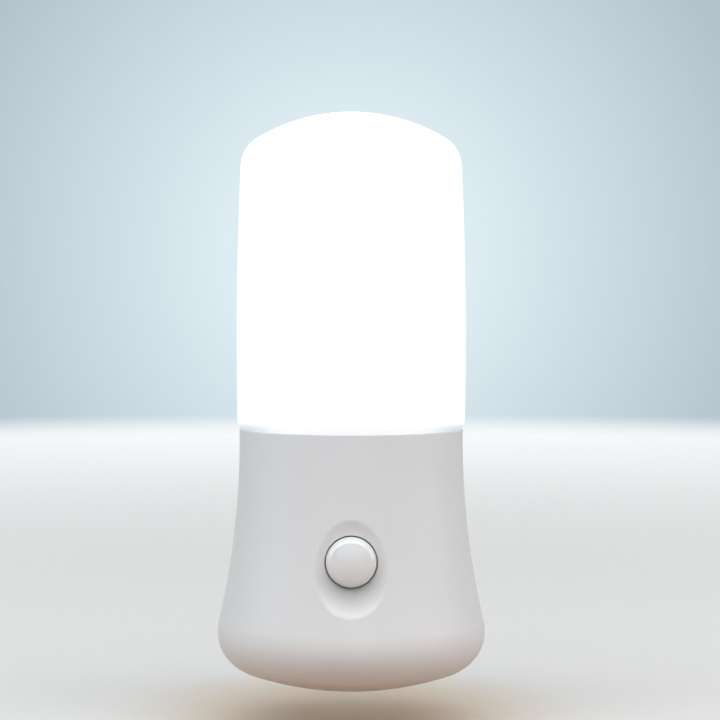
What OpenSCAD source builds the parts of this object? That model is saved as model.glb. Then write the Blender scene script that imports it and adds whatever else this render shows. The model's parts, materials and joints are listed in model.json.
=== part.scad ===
// Plug-in night light with a latching push switch. A flared base stands on two flat blades and
// holds the driver board; a milky diffuser drops into its neck over an upright board of LEDs.
// +X is to the right seen from the front, +Y goes into the wall and +Z is up. The origin is on the
// wall face, midway between the blades. All sizes are millimetres, and names that end in _h are
// heights above the bottom of the body.

/* [Body] */
// Height of the whole body
body_h = 83.4; // [80:0.2:88]
// Width of the base at its widest
base_w = 38.8; // [38:0.2:40]
// Width of the base at its neck, under the diffuser
neck_w = 32.4; // [31.8:0.2:33]
// Height of the seam between the base and the diffuser
seam_h = 37.6; // [37:0.2:39]
// Height at which the flare has run out into the neck
flare_top_h = 36; // [34:0.5:36.5]
// Height of the widest point of the base
foot_h = 8.2; // [7.6:0.2:9]
// Radius of the base's lower edge
foot_r = 5.8; // [5:0.2:6.4]
// Radius with which the foot turns into the flare
shoulder_r = 8; // [6:1:14]
// Distance of the round front's axis from the wall face
front_axis = 14; // [13.5:0.5:15]
// Depth of the rear cover, which is where the parting line runs
cover_d = 5; // [4.6:0.2:5.6]
// Depth that the rounded back would bulge if the wall face did not cut it off
back_bulge = 9; // [8:0.5:10]
// Wall of the base mouldings
wall = 1.8; // [1.6:0.1:2]
// Thickness of the rear cover's flat plate
plate_t = 2; // [1.8:0.1:2.4]
// Thickness of the rear cover's locating rim
rim_t = 1; // [0.8:0.1:1.2]
// Length of that rim
rim_l = 1.6; // [1:0.1:2]

/* [Diffuser] */
// Width of the diffuser at its widest
diffuser_w = 33.2; // [32.8:0.2:33.8]
// Height of the diffuser's widest point
belly_h = 50; // [46:1:54]
// Radius of the diffuser's slightly bellied side
belly_r = 560; // [400:20:900]
// Radius of the domed top
dome_r = 26.5; // [24:0.5:32]
// Radius between the side and the domed top
dome_edge_r = 4.8; // [4:0.2:6]
// Wall of the diffuser
diffuser_wall = 1.6; // [1.4:0.1:1.8]
// How far the diffuser's rounded lower edge ends inside the neck's outer face
lip_in = 0.3; // [0.2:0.05:0.6]
// Height over which that edge turns in
lip_h = 1.6; // [1:0.1:2]
// Length of the spigot that goes into the neck
spigot_l = 4; // [3.5:0.5:4.5]
// Wall of the spigot
spigot_wall = 1.2; // [1:0.1:1.4]
// Wall of the neck around the spigot
collar_wall = 1.1; // [1:0.1:1.2]
// How far the spigot's snap bead stands out
bead_t = 0.3; // [0.2:0.05:0.4]
// Radius of that bead's section
bead_r = 0.7; // [0.5:0.1:1]

/* [Button and switch] */
// Height of the button's centre
button_h = 20.1; // [19.5:0.1:21.5]
// Diameter of the button
button_d = 7; // [6.6:0.1:7.4]
// How far the button stands out past the front
button_proud = 0.8; // [0.5:0.1:1.2]
// Radius of the button's slightly domed face
button_dome_r = 9; // [7:1:14]
// Radius of the button's edge
button_edge_r = 1.3; // [0.8:0.1:1.6]
// How far the button travels
travel = 2; // [1.5:0.1:2.2]
// Radius of the dished recess around the button, across the front
dish_r = 9; // [8.4:0.1:9.4]
// Radius of that recess in depth
dish_round = 4.5; // [4:0.1:5]
// Depth of that recess at its middle
dish_d = 1.4; // [1.2:0.1:1.6]
// How far the recess's middle lies above the button's
dish_rise = 0.8; // [0.4:0.1:1]
// Width of the push switch
switch_w = 8.4; // [8:0.1:8.6]
// Depth of the push switch
switch_d = 7; // [6.6:0.1:7.4]
// Width of the switch's square plunger
plunger_w = 3.2; // [3:0.1:3.4]

/* [Plug] */
// Height of the blades' centre
plug_h = 13; // [12.5:0.5:14]
// Distance between the blades
blade_pitch = 12.7; // [12.5:0.1:12.9]
// Width of a blade
blade_w = 6.35; // [6.2:0.05:6.5]
// Thickness of a blade
blade_t = 1.5; // [1.4:0.05:1.6]
// Length of a blade outside the cover
blade_l = 17.5; // [16:0.5:18.5]

/* [Boards and screws] */
// Distance of the cover screws from the middle
screw_x = 12; // [11.8:0.1:12.2]
// Diameter of a cover screw
screw_d = 2.6; // [2.4:0.1:2.8]
// Width of the driver board
board_w = 24; // [23:0.5:25]
// Height of the driver board's lower edge
board_low_h = 5.6; // [5.4:0.1:6]
// Gap between the driver board and the bracket above it
board_gap = 1.4; // [0.6:0.1:2]
// Thickness of both circuit boards
board_t = 1.6; // [1.2:0.1:1.6]
// Width of the LED board
led_board_w = 20; // [18:0.5:21]
// Height of the LED board
led_board_h = 37; // [34:0.5:38]
// Distance of the LED board from the wall face
led_board_y = 5; // [4.6:0.2:6]
// Rows of LEDs
led_rows = 4; // [3:1:5]
// Thickness of the bracket plate that closes the neck
bracket_t = 1.6; // [1.4:0.1:1.8]
// Height of the bracket's two arms
arm_h = 12; // [8:1:16]
// Length of a cover screw's shank
screw_l = 12.7; // [10:0.1:14]
// Length of a board screw in its post
board_screw_l = 4.5; // [3.5:0.1:5]

/* [Components] */
// Thickness of the film capacitor
film_t = 5; // [4:0.2:5.6]
// Diameter of the filter capacitor's can
can_d = 6.3; // [5:0.1:6.5]
// Length of that can
can_l = 10.4; // [8:0.2:10.6]
// Width of the bridge rectifier
rectifier_w = 4; // [3.4:0.2:4.4]
// Height of the bridge rectifier
rectifier_h = 4.7; // [4:0.1:5.2]
// Thickness of the bridge rectifier
rectifier_t = 2.4; // [2:0.1:3]
// Diameter of the fusible resistor
fuse_d = 2.4; // [2:0.1:2.8]
// Length of that resistor
fuse_l = 5.2; // [4.6:0.2:5.6]
// Width of a chip resistor
chip_w = 3.1; // [2:0.1:3.2]
// Height of a chip resistor
chip_h = 1.6; // [1.2:0.1:2]
// Thickness of a chip resistor
chip_t = 0.6; // [0.4:0.05:0.8]
// Width of an LED
led_w = 3.5; // [2.8:0.1:5]
// Height of an LED
led_h = 2.8; // [2:0.1:3.5]
// Thickness of an LED
led_t = 0.8; // [0.6:0.05:1.2]
// Diameter of the insulated leads
lead_d = 1.2; // [1:0.1:1.3]

/* [Fits] */
// Clearance between fixed pieces that go into each other
fit = 0.15; // [0.1:0.05:0.2]
// Clearance around the sliding button
slide_fit = 0.15; // [0.1:0.05:0.2]
// Clearance around pins, screws and leads
pin_fit = 0.08; // [0.05:0.01:0.1]

/* [Hidden] */
$fn = 64;
far = 100;

z0 = -plug_h;
seam_z = z0 + seam_h;
foot_z = z0 + foot_h;
flare_top_z = z0 + flare_top_h;
top_z = z0 + body_h;

// The keel is the shallow arc of the underside. It touches the foot's radius from outside, and the
// flare touches both the shoulder's radius and the upright neck.
foot_x = base_w / 2 - foot_r;
keel_r = (foot_x * foot_x + foot_h * foot_h - foot_r * foot_r) / (2 * (foot_h - foot_r));
keel_a = asin(foot_x / (keel_r - foot_r));
flare_a = 2 * atan((base_w - neck_w) / 2 / (flare_top_h - foot_h));
flare_r = (flare_top_h - foot_h) / sin(flare_a) - shoulder_r;
back_scale = back_bulge / (base_w / 2);

// The neck: a recess inside it takes the bracket plate, and the diffuser's spigot on top of that.
collar_x = neck_w / 2 - collar_wall;
spigot_x = collar_x - fit;
bracket_z = seam_z - spigot_l;
ledge_z = bracket_z - bracket_t;
diffuser_back = collar_wall + fit;
bead_z = bracket_z + spigot_l / 2;
bead_end_y = -cover_d - 1;

// Middles of the arcs that make the diffuser's side and top
belly_c = [diffuser_w / 2 - belly_r, z0 + belly_h];
dome_c = [0, top_z - dome_r];
edge_c = circles_meet(belly_c, belly_r - dome_edge_r, dome_c, dome_r - dome_edge_r);
belly_top_a = atan2(edge_c[1] - belly_c[1], edge_c[0] - belly_c[0]);
dome_a = atan2(edge_c[1] - dome_c[1], edge_c[0]);

// Places along the button's axis, from the front
button_z = z0 + button_h;
front_y = -front_axis - side_x(button_h);
button_face_y = front_y - button_proud;
dish_floor_y = front_y + dish_d;
sleeve_t = 2.2;
sleeve_end_y = dish_floor_y + sleeve_t;
pad_w = 4;
pad_r = button_d / 2 + pad_w;
flange_t = 1;
flange_w = 0.9;
flange_r = button_d / 2 + flange_w;
flange_end_y = sleeve_end_y + flange_t;
switch_nose_t = 0.8;
travel_spare = 0.5;
switch_nose_y = flange_end_y + travel + travel_spare;
switch_front_y = switch_nose_y + switch_nose_t;
board_front_y = switch_front_y + switch_d;
board_rear_y = board_front_y + board_t;

// Inside the switch
switch_wall = 0.8;
switch_room = switch_w - 2 * switch_wall;
switch_front_t = 1;
base_t = 1;
base_front_y = board_front_y - base_t;
slider_w = 5.2;
slider_front_y = switch_front_y + switch_front_t + 0.1;
slider_end_y = base_front_y - travel - 0.15;
spring_d = 2.4;
spring_wire = 0.4;
spring_bore_y = slider_end_y - 2.6;
strip_t = 0.3;
contact_gap = 0.1;
terminal_x = slider_w / 2 + strip_t + contact_gap;
terminal_pitch = 2;
terminal_w = 0.8;
terminal_tail = 1;
wiper_rise = 2.2;
contact_rise = 0.6;
latch_d = 0.45;
track_depth = 0.4;
track_side = 0.75;
socket_depth = 3.4;

// Driver board and what holds it
board_low_z = z0 + board_low_h;
board_h = ledge_z - board_gap - board_low_z;
board_mid_z = board_low_z + board_h / 2;
boss_wall = 1.5;
boss_r = screw_d / 2 + boss_wall;
head_w = 1;
head_r = screw_d / 2 + head_w;
head_t = 1.5;
head_sunk = 0.3;
screw_end_y = -head_sunk - head_t - screw_l;
post_d = 4.2;
rib_t = 1;
rib_drop = 0.5;
post_x = board_w / 2 - 3;
post_inset = 2.9;
post_zs = [board_low_z + post_inset, board_low_z + board_h - post_inset];
board_screw_d = 2;
component_z = (button_z - terminal_pitch - terminal_w / 2 + board_low_z + can_d) / 2;
rectifier_x = 4.8;
fuse_x = 3.6;
fuse_wire_d = 0.6;
fuse_bend = 0.8;
component_lift = 0.3;
chip_x = board_w / 2 - 3.4;
board_head_r = board_screw_d / 2 + 0.8;
board_head_t = 1.2;
pilot_spare = 0.5;

// Blades inside the cover
shoulder_w = blade_w + 2.6;
shoulder_t = 1.5;
shoulder_end_y = -plate_t - shoulder_t;
tail_w = 3.2;
tail_end_y = -8.2;
clamp_w = 2 * (screw_x - boss_r - fit);
clamp_h = shoulder_w + 2.2;
clamp_end_y = shoulder_end_y - 1.8;
stake_z = clamp_h / 2 - 2.1;
stake_d = 1.8;
stake_head_t = 0.6;
clamp_corner_r = 1.5;

// LED board
led_front_y = -led_board_y - board_t;
led_board_z = bracket_z + fit;
led_x = led_board_w / 4;
led_margin = 5;
arm_w = 3;
arm_depth = board_t + 2.4;
slot_depth = 1.4;
lead_gap = 0.4;
lead_reach = 6;
lead_hole_d = lead_d + 2 * lead_gap;
led_lead_x = post_x - board_head_r - lead_gap - lead_d / 2;
film_w = 2 * (led_lead_x - lead_d / 2 - lead_gap);
led_lead_y = (led_front_y + board_rear_y) / 2;
led_lead_rise = 4.8;
bracket_mid_z = bracket_z - bracket_t / 2;

// Points of an arc, without its first point, so that arcs can be chained.
function arc(c, r, a0, a1, n) =
    [for (i = [1:n]) let (a = a0 + (a1 - a0) * i / n) c + r * [cos(a), sin(a)]];

// The upper of the two points where a circle on the left crosses one on its right.
function circles_meet(c1, r1, c2, r2) =
    let (
        d = norm(c2 - c1),
        u = (c2 - c1) / d,
        along = (r1 * r1 - r2 * r2 + d * d) / (2 * d),
        across = sqrt(r1 * r1 - along * along)
    )
    c1 + along * u + across * [-u[1], u[0]];

// Half width of the base's outer face at a height on its flare.
function side_x(h) =
    neck_w / 2 + flare_r - sqrt(flare_r * flare_r - pow(max(flare_top_h - h, 0), 2));

// Right half of the base's outline, moved in by t, from the middle of the underside to up_z.
function base_side(t, up_z) =
    let (drop = max(flare_top_z - up_z, 0), top_x = neck_w / 2 - t)
    concat(
        [[0, z0 + t]],
        arc([0, z0 + keel_r], keel_r - t, -90, keel_a - 90, 4),
        arc([foot_x, foot_z], foot_r - t, keel_a - 90, 0, 18),
        arc([base_w / 2 - shoulder_r, foot_z], shoulder_r - t, 0, flare_a, 3),
        arc([neck_w / 2 + flare_r, flare_top_z], flare_r + t, 180 + flare_a,
            180 + asin(drop / (flare_r + t)), 8),
        up_z > flare_top_z ? [[top_x, up_z]] : []);

// Right half of the diffuser's outline above from_z, moved in by t.
function diffuser_side(t, from_z) =
    let (from_a = asin((from_z - belly_c[1]) / (belly_r - t)))
    concat(
        [belly_c + (belly_r - t) * [cos(from_a), sin(from_a)]],
        arc(belly_c, belly_r - t, from_a, belly_top_a, 5),
        arc(edge_c, dome_edge_r - t, belly_top_a, dome_a, 14),
        arc(dome_c, dome_r - t, dome_a, 90, 10));

// The diffuser's rounded lower edge, from the seam to just below its side's first point.
function lip(side_start) =
    let (low_x = neck_w / 2 - lip_in)
    [for (i = [0:4]) let (a = 18 * i)
        [low_x + (side_start[0] - low_x) * sin(a), seam_z + lip_h * (1 - cos(a))]];

// Right half of a disc with the spigot's snap bead on its rim, grown by a gap for its groove.
function bead_band(gap) =
    let (r = bead_r + gap, a = acos((r - bead_t) / r), rise = r * sin(a))
    concat(
        [[0, bead_z - rise], [spigot_x + gap, bead_z - rise]],
        arc([spigot_x + gap + bead_t - r, bead_z], r, -a, a, 6),
        [[0, bead_z + rise]]);

// Outline of a plate with rounded corners.
function rounded(w, h, r) = concat(
    arc([w / 2 - r, h / 2 - r], r, 0, 90, 6),
    arc([r - w / 2, h / 2 - r], r, 90, 180, 6),
    arc([r - w / 2, r - h / 2], r, 180, 270, 6),
    arc([w / 2 - r, r - h / 2], r, 270, 360, 6));

function bezier(p, t) =
    pow(1 - t, 3) * p[0] + 3 * pow(1 - t, 2) * t * p[1] + 3 * (1 - t) * t * t * p[2] + pow(t, 3) * p[3];

function bezier_way(p, t) =
    pow(1 - t, 2) * (p[1] - p[0]) + 2 * (1 - t) * t * (p[2] - p[1]) + t * t * (p[3] - p[2]);

// The body's plan at every height is a half circle in front, straight sides, and a flattened half
// circle behind. These modules are its three stretches, each from the same right half of an
// outline that begins and ends on the axis.
module round_front(side) {
    translate([0, -front_axis, 0])
        rotate([0, 0, 180])
            rotate_extrude(angle = 180)
                polygon(side);
}

module straight_middle(side, from_y = -front_axis, to_y = -cover_d) {
    left = [for (i = [len(side) - 1:-1:0]) if (side[i][0] > 0) [-side[i][0], side[i][1]]];
    translate([0, to_y, 0])
        rotate([90, 0, 0])
            linear_extrude(to_y - from_y)
                polygon(concat(side, left));
}

module round_back(side, flat_y) {
    intersection() {
        translate([0, -cover_d, 0])
            scale([1, back_scale, 1])
                rotate_extrude(angle = 180)
                    polygon(side);
        translate([-far / 2, flat_y - far, -far / 2])
            cube([far, far, 2 * far]);
    }
}

// An outline closed along the axis.
function closed(side) = concat(side, [[0, side[len(side) - 1][1]]]);

// A rectangle from the axis to x, between two heights.
function band(x, low_z, high_z) = [[0, low_z], [x, low_z], [x, high_z], [0, high_z]];

// Cylinder along +Y from a point.
module along_y(x, y0, y1, z, d) {
    translate([x, y0, z])
        rotate([-90, 0, 0])
            cylinder(h = y1 - y0, d = d);
}

// Box given by its middle in X and Z and its two ends in Y.
module box_y(x, y0, y1, z, w, h) {
    translate([x - w / 2, y0, z - h / 2])
        cube([w, y1 - y0, h]);
}

// Plate standing across Y, with its outline in X and Z.
module plate_y(y0, y1, z, outline) {
    translate([0, y1, z])
        rotate([90, 0, 0])
            linear_extrude(y1 - y0)
                polygon(outline);
}

// Straight round wire between two points, with a ball on its far end so that bends close.
module rod(from, to, d, ball = true) {
    run = to - from;
    translate(from)
        rotate([0, acos(run[2] / norm(run)), atan2(run[1], run[0])])
            cylinder(h = norm(run), d = d, $fn = 16);
    if (ball)
        translate(to)
            sphere(d = d, $fn = 16);
}

// Soft insulated lead that leaves and arrives along its two handles.
module lead(p) {
    steps = 12;
    sides = 8;
    rings = [
        for (i = [0:steps])
            let (
                way = bezier_way(p, i / steps),
                u = cross(way, [1, 0, 0]) / norm(cross(way, [1, 0, 0])),
                v = cross(way, u) / norm(cross(way, u))
            )
            for (k = [0:sides - 1])
                let (a = 360 * k / sides)
                bezier(p, i / steps) + lead_d / 2 * (cos(a) * u + sin(a) * v)
    ];
    skin = [
        for (i = [0:steps - 1], k = [0:sides - 1])
            let (a = i * sides + k, b = i * sides + (k + 1) % sides)
            [a, a + sides, b + sides, b]
    ];
    near_end = [for (k = [0:sides - 1]) k];
    far_end = [for (k = [sides - 1:-1:0]) steps * sides + k];
    polyhedron(rings, concat(skin, [near_end, far_end]));
}

// ---- Base mouldings ----

// Rib that ties a post or a boss to the side wall, and ends at end_y.
module rib(side, from_x, end_y, z) {
    box_y(side * (from_x + far) / 2, -far, end_y, z, far - from_x, rib_t);
}

// What stands in the front moulding's cavity: the pad behind the recess, two screw bosses and the
// four posts of the driver board, each with its rib. It is left standing when the cavity is cut.
module front_inside() {
    along_y(0, front_y - far, sleeve_end_y, button_z, 2 * pad_r);
    for (side = [-1, 1]) {
        along_y(side * screw_x, front_y - far, -cover_d + 1, 0, 2 * boss_r);
        rib(side, screw_x, -cover_d - rim_l - rib_drop, 0);
        for (z = post_zs) {
            along_y(side * post_x, front_y - far, board_front_y, z, post_d);
            rib(side, post_x, board_front_y - rib_drop, z);
        }
    }
}

module front_housing() {
    shell = closed(base_side(0, seam_z));
    room = closed(base_side(wall, ledge_z));
    recess = band(collar_x, ledge_z, seam_z + 1);
    color("whitesmoke")
    difference() {
        union() {
            round_front(shell);
            straight_middle(shell);
        }
        difference() {
            union() {
                round_front(room);
                straight_middle(room, to_y = -cover_d + 1);
            }
            front_inside();
        }
        round_front(recess);
        straight_middle(recess, to_y = -cover_d + 1);
        round_front(bead_band(fit));
        straight_middle(bead_band(fit), to_y = -cover_d + 1);
        translate([0, dish_floor_y - dish_round, button_z + dish_rise])
            scale([1, dish_round / dish_r, 1])
                sphere(r = dish_r);
        along_y(0, front_y - 1, sleeve_end_y + 1, button_z, button_d + 2 * slide_fit);
        for (side = [-1, 1]) {
            along_y(side * screw_x, screw_end_y - pilot_spare, -cover_d + 1, 0, screw_d + 2 * pin_fit);
            for (z = post_zs)
                along_y(side * post_x, board_front_y - board_screw_l - pilot_spare, board_front_y + 1, z,
                    board_screw_d + 2 * pin_fit);
        }
    }
}

module rear_cover() {
    rim_in = wall + fit;
    color("whitesmoke") {
        difference() {
            union() {
                round_back(closed(base_side(0, seam_z)), 0);
                straight_middle(closed(base_side(rim_in, ledge_z)), from_y = -cover_d - rim_l);
            }
            difference() {
                union() {
                    round_back(closed(base_side(rim_in + rim_t, ledge_z)), -plate_t);
                    straight_middle(closed(base_side(rim_in + rim_t, ledge_z + 1)),
                        from_y = -cover_d - rim_l - 1);
                }
                for (side = [-1, 1])
                    along_y(side * screw_x, -cover_d, 0, 0, 2 * boss_r);
            }
            round_back(band(collar_x, ledge_z - 0.1, seam_z + 1), -collar_wall);
            for (side = [-1, 1]) {
                along_y(side * screw_x, -far, 1, 0, screw_d + 4 * pin_fit);
                along_y(side * screw_x, -head_t - head_sunk, 1, 0, 2 * head_r + 4 * pin_fit);
                box_y(side * blade_pitch / 2, -plate_t - 1, 1, 0,
                    blade_t + 2 * pin_fit, blade_w + 2 * pin_fit);
            }
        }
        for (side = [-1, 1]) {
            along_y(0, clamp_end_y, -plate_t, side * stake_z, stake_d);
            along_y(0, clamp_end_y - stake_head_t, clamp_end_y, side * stake_z, stake_d + 1);
        }
    }
}

// ---- Diffuser ----

module diffuser() {
    side = diffuser_side(0, seam_z + lip_h);
    outer = concat([[0, bracket_z], [spigot_x, bracket_z], [spigot_x, seam_z]], lip(side[0]), side);
    inner = concat([[0, bracket_z - 1], [spigot_x - spigot_wall, bracket_z - 1],
        [spigot_x - spigot_wall, seam_z + lip_h]], diffuser_side(diffuser_wall, seam_z + 2 * lip_h));
    color("white")
    difference() {
        union() {
            round_front(outer);
            straight_middle(outer);
            round_back(outer, -diffuser_back);
            round_front(bead_band(0));
            straight_middle(bead_band(0), to_y = bead_end_y);
        }
        round_front(inner);
        straight_middle(inner);
        round_back(inner, -diffuser_back - diffuser_wall);
    }
}

// ---- Button and push switch ----

module button_cap() {
    face_c = [0, button_dome_r];
    edge_x = button_d / 2 - button_edge_r;
    edge_y = button_dome_r - sqrt(pow(button_dome_r - button_edge_r, 2) - edge_x * edge_x);
    face_a = asin(edge_x / (button_dome_r - button_edge_r));
    depth = flange_end_y - button_face_y;
    outline = concat(
        [[0, 0]],
        arc(face_c, button_dome_r, -90, face_a - 90, 6),
        arc([edge_x, edge_y], button_edge_r, face_a - 90, 0, 6),
        [[button_d / 2, depth - flange_t], [flange_r, depth - flange_t], [flange_r, depth], [0, depth]]);
    color("white")
    difference() {
        translate([0, button_face_y, button_z])
            rotate([-90, 0, 0])
                rotate_extrude()
                    polygon(outline);
        box_y(0, flange_end_y - socket_depth, flange_end_y + 1, button_z,
            plunger_w + 2 * pin_fit, plunger_w + 2 * pin_fit);
    }
}

module switch_plunger() {
    track_z = button_z + slider_w / 2;
    color("gainsboro")
    difference() {
        union() {
            box_y(0, flange_end_y - socket_depth + 0.1, slider_front_y + 0.5, button_z, plunger_w, plunger_w);
            box_y(0, slider_front_y, slider_end_y, button_z, slider_w, slider_w);
        }
        along_y(0, spring_bore_y, slider_end_y + 1, button_z, spring_d + 0.3);
        // Track of the latch, round an island that catches the wire
        difference() {
            box_y(0, slider_front_y + 0.1, slider_end_y + 1, track_z, 2.6, 2 * track_depth);
            translate([0, (slider_front_y + slider_end_y) / 2, track_z - 1])
                cylinder(h = 2, d = 0.8);
        }
    }
}

module switch_body() {
    color("dimgray")
    difference() {
        union() {
            box_y(0, switch_front_y, board_front_y, button_z, switch_w, switch_w);
            along_y(0, switch_nose_y, switch_front_y + 0.5, button_z, plunger_w * 1.6 + 1);
        }
        box_y(0, switch_front_y + switch_front_t, board_front_y + 1, button_z, switch_room, switch_room);
        box_y(0, switch_nose_y - 1, switch_front_y + 2, button_z, plunger_w + 0.3, plunger_w + 0.3);
    }
}

module switch_base() {
    base_w0 = switch_room - 2 * pin_fit;
    color("dimgray")
    difference() {
        union() {
            box_y(0, base_front_y, board_front_y, button_z, base_w0, base_w0);
            along_y(0, base_front_y - 0.8, base_front_y, button_z, spring_d - 2 * spring_wire - 0.2);
        }
        for (side = [-1, 1], row = [-1:1])
            box_y(side * (terminal_x + strip_t / 2), base_front_y - 1, board_front_y + 1,
                button_z + row * terminal_pitch, strip_t + 2 * pin_fit, terminal_w + 2 * pin_fit);
    }
}

module switch_spring() {
    color("silver")
    difference() {
        along_y(0, spring_bore_y, base_front_y, button_z, spring_d);
        along_y(0, spring_bore_y - 1, base_front_y + 1, button_z, spring_d - 2 * spring_wire);
    }
}

module latch_wire() {
    wire_z = button_z + slider_w / 2 + latch_d / 2 + 0.05;
    tip_y = slider_end_y - latch_d / 2 - 0.1;
    color("silver") {
        rod([track_side, base_front_y, wire_z], [track_side, tip_y, wire_z], latch_d);
        rod([track_side, tip_y, wire_z], [track_side, tip_y, wire_z - latch_d / 2 - track_depth + 0.1],
            latch_d, ball = false);
    }
}

module contact_bridge() {
    w = slider_w + 2 * strip_t;
    color("peru")
    difference() {
        box_y(0, slider_front_y + 0.3, slider_front_y + 1.3, button_z - slider_w / 4 - strip_t / 2,
            w, slider_w / 2 + strip_t);
        box_y(0, slider_front_y, slider_front_y + 2, button_z, slider_w, slider_w);
    }
}

module switch_terminals() {
    color("silver")
    for (side = [-1, 1], row = [-1:1])
        box_y(side * (terminal_x + strip_t / 2), base_front_y - (row == 0 ? wiper_rise : contact_rise),
            board_rear_y + terminal_tail, button_z + row * terminal_pitch, strip_t, terminal_w);
}

// ---- Plug ----

// Blade with a chamfered tip outside, and a shoulder and a solder tail inside.
module blade(side) {
    tip = 1.2;
    half = blade_w / 2;
    outline = [
        [blade_l, half - tip], [blade_l - tip, half], [-plate_t, half], [-plate_t, shoulder_w / 2],
        [shoulder_end_y, shoulder_w / 2], [shoulder_end_y, tail_w / 2], [tail_end_y, tail_w / 2],
        [tail_end_y, -tail_w / 2], [shoulder_end_y, -tail_w / 2], [shoulder_end_y, -shoulder_w / 2],
        [-plate_t, -shoulder_w / 2], [-plate_t, -half], [blade_l - tip, -half], [blade_l, tip - half]
    ];
    plan = [
        [-blade_t / 2, tail_end_y], [blade_t / 2, tail_end_y], [blade_t / 2, blade_l - tip],
        [blade_t / 5, blade_l], [-blade_t / 5, blade_l], [-blade_t / 2, blade_l - tip]
    ];
    color("khaki")
    translate([side * blade_pitch / 2, 0, 0])
        intersection() {
            translate([-blade_t / 2, 0, 0])
                rotate([90, 0, 90])
                    linear_extrude(blade_t)
                        polygon(outline);
            translate([0, 0, -shoulder_w / 2])
                linear_extrude(shoulder_w)
                    polygon(plan);
        }
}

module blade_left() {
    blade(-1);
}

module blade_right() {
    blade(1);
}

module blade_clamp() {
    color("lightgray")
    difference() {
        plate_y(clamp_end_y, -plate_t, 0, rounded(clamp_w, clamp_h, clamp_corner_r));
        for (side = [-1, 1]) {
            box_y(side * blade_pitch / 2, shoulder_end_y - pin_fit, 1, 0,
                blade_t + 2 * pin_fit, shoulder_w + 2 * pin_fit);
            box_y(side * blade_pitch / 2, clamp_end_y - 1, 1, 0, blade_t + 2 * pin_fit, tail_w + 2 * pin_fit);
            along_y(0, clamp_end_y - 1, 1, side * stake_z, stake_d + 2 * pin_fit);
        }
    }
}

// Pan head screw along -Y, with its head's face at y.
module screw(x, y, z, d, head, head_high, length) {
    difference() {
        union() {
            along_y(x, y - head_high, y, z, head);
            along_y(x, y - head_high - length, y - head_high, z, d);
        }
        for (a = [0, 90])
            translate([x, y - head_high / 2, z])
                rotate([0, a, 0])
                    translate([-head * 0.3, 0, -head * 0.07])
                        cube([head * 0.6, head_high, head * 0.14]);
    }
}

module cover_screws() {
    color("silver")
    for (side = [-1, 1])
        screw(side * screw_x, -head_sunk, 0, screw_d, 2 * head_r, head_t, screw_l);
}

module board_screws() {
    color("silver") {
        screw(post_x, board_rear_y + board_head_t, post_zs[0], board_screw_d, 2 * board_head_r,
            board_head_t, board_t + board_screw_l);
        screw(-post_x, board_rear_y + board_head_t, post_zs[1], board_screw_d, 2 * board_head_r,
            board_head_t, board_t + board_screw_l);
    }
}

// ---- Driver board ----

module driver_board() {
    color("tan")
    difference() {
        plate_y(board_front_y, board_rear_y, board_mid_z, rounded(board_w, board_h, 1));
        for (side = [-1, 1]) {
            along_y(side * screw_x, board_front_y - 1, board_rear_y + 1, 0, 2 * boss_r + 4 * fit);
            for (z = post_zs)
                along_y(side * post_x, board_front_y - 1, board_rear_y + 1, z, board_screw_d + 2 * fit);
            for (row = [-1:1])
                box_y(side * (terminal_x + strip_t / 2), board_front_y - 1, board_rear_y + 1,
                    button_z + row * terminal_pitch, strip_t + 2 * pin_fit, terminal_w + 2 * pin_fit);
        }
    }
}

module film_capacitor() {
    low_z = button_z + terminal_pitch + terminal_w / 2 + lead_gap;
    high_z = board_low_z + board_h - lead_gap;
    color("firebrick")
    plate_y(board_rear_y, board_rear_y + film_t, (low_z + high_z) / 2, rounded(film_w, high_z - low_z, 1));
}

module filter_capacitor() {
    can_y = board_rear_y + can_d / 2;
    margin = 0.2;
    can_z = board_low_z + can_d / 2 + margin;
    r = can_d / 2;
    edge = 0.4;
    crimp_back = 1.7;
    groove = can_l - crimp_back;
    color("midnightblue")
    translate([-can_l / 2, can_y, can_z])
        rotate([0, 90, 0])
            rotate_extrude()
                polygon([
                    [0, 0], [r - edge, 0], [r, edge], [r, groove - edge], [r - edge, groove - edge / 2],
                    [r - edge, groove + edge / 2], [r, groove + edge], [r, can_l - edge / 2],
                    [r - edge / 2, can_l], [r - 2 * edge, can_l], [r - 2 * edge, can_l - edge / 2],
                    [0, can_l - edge / 2]
                ]);
}

module bridge_rectifier() {
    foot_w = 1.4;
    foot_high = 0.7;
    foot_t = 0.5;
    foot_under = 0.35;
    foot_pitch = 2.6;
    body_y = board_rear_y + component_lift;
    color("dimgray") {
        box_y(-rectifier_x, body_y, body_y + rectifier_t, component_z, rectifier_w, rectifier_h);
        for (x = [-1, 1], z = [-1, 1])
            box_y(-rectifier_x + x * ((rectifier_w + foot_w) / 2 - foot_under), board_rear_y,
                board_rear_y + foot_t, component_z + z * foot_pitch / 2, foot_w, foot_high);
    }
}

module fuse_resistor() {
    fuse_y = board_rear_y + component_lift + fuse_d / 2;
    color("skyblue") {
        translate([fuse_x - fuse_l / 2, fuse_y, component_z])
            rotate([0, 90, 0])
                cylinder(h = fuse_l, d = fuse_d);
        for (side = [-1, 1]) {
            bend = [fuse_x + side * (fuse_l / 2 + fuse_bend), fuse_y, component_z];
            rod([fuse_x, fuse_y, component_z], bend, fuse_wire_d);
            rod(bend, [bend[0], board_rear_y, component_z], fuse_wire_d, ball = false);
        }
    }
}

module chip_resistors() {
    color("dimgray")
    for (side = [-1, 1])
        box_y(side * chip_x, board_rear_y, board_rear_y + chip_t, button_z, chip_w, chip_h);
}

// ---- LED board and its bracket ----

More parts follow.
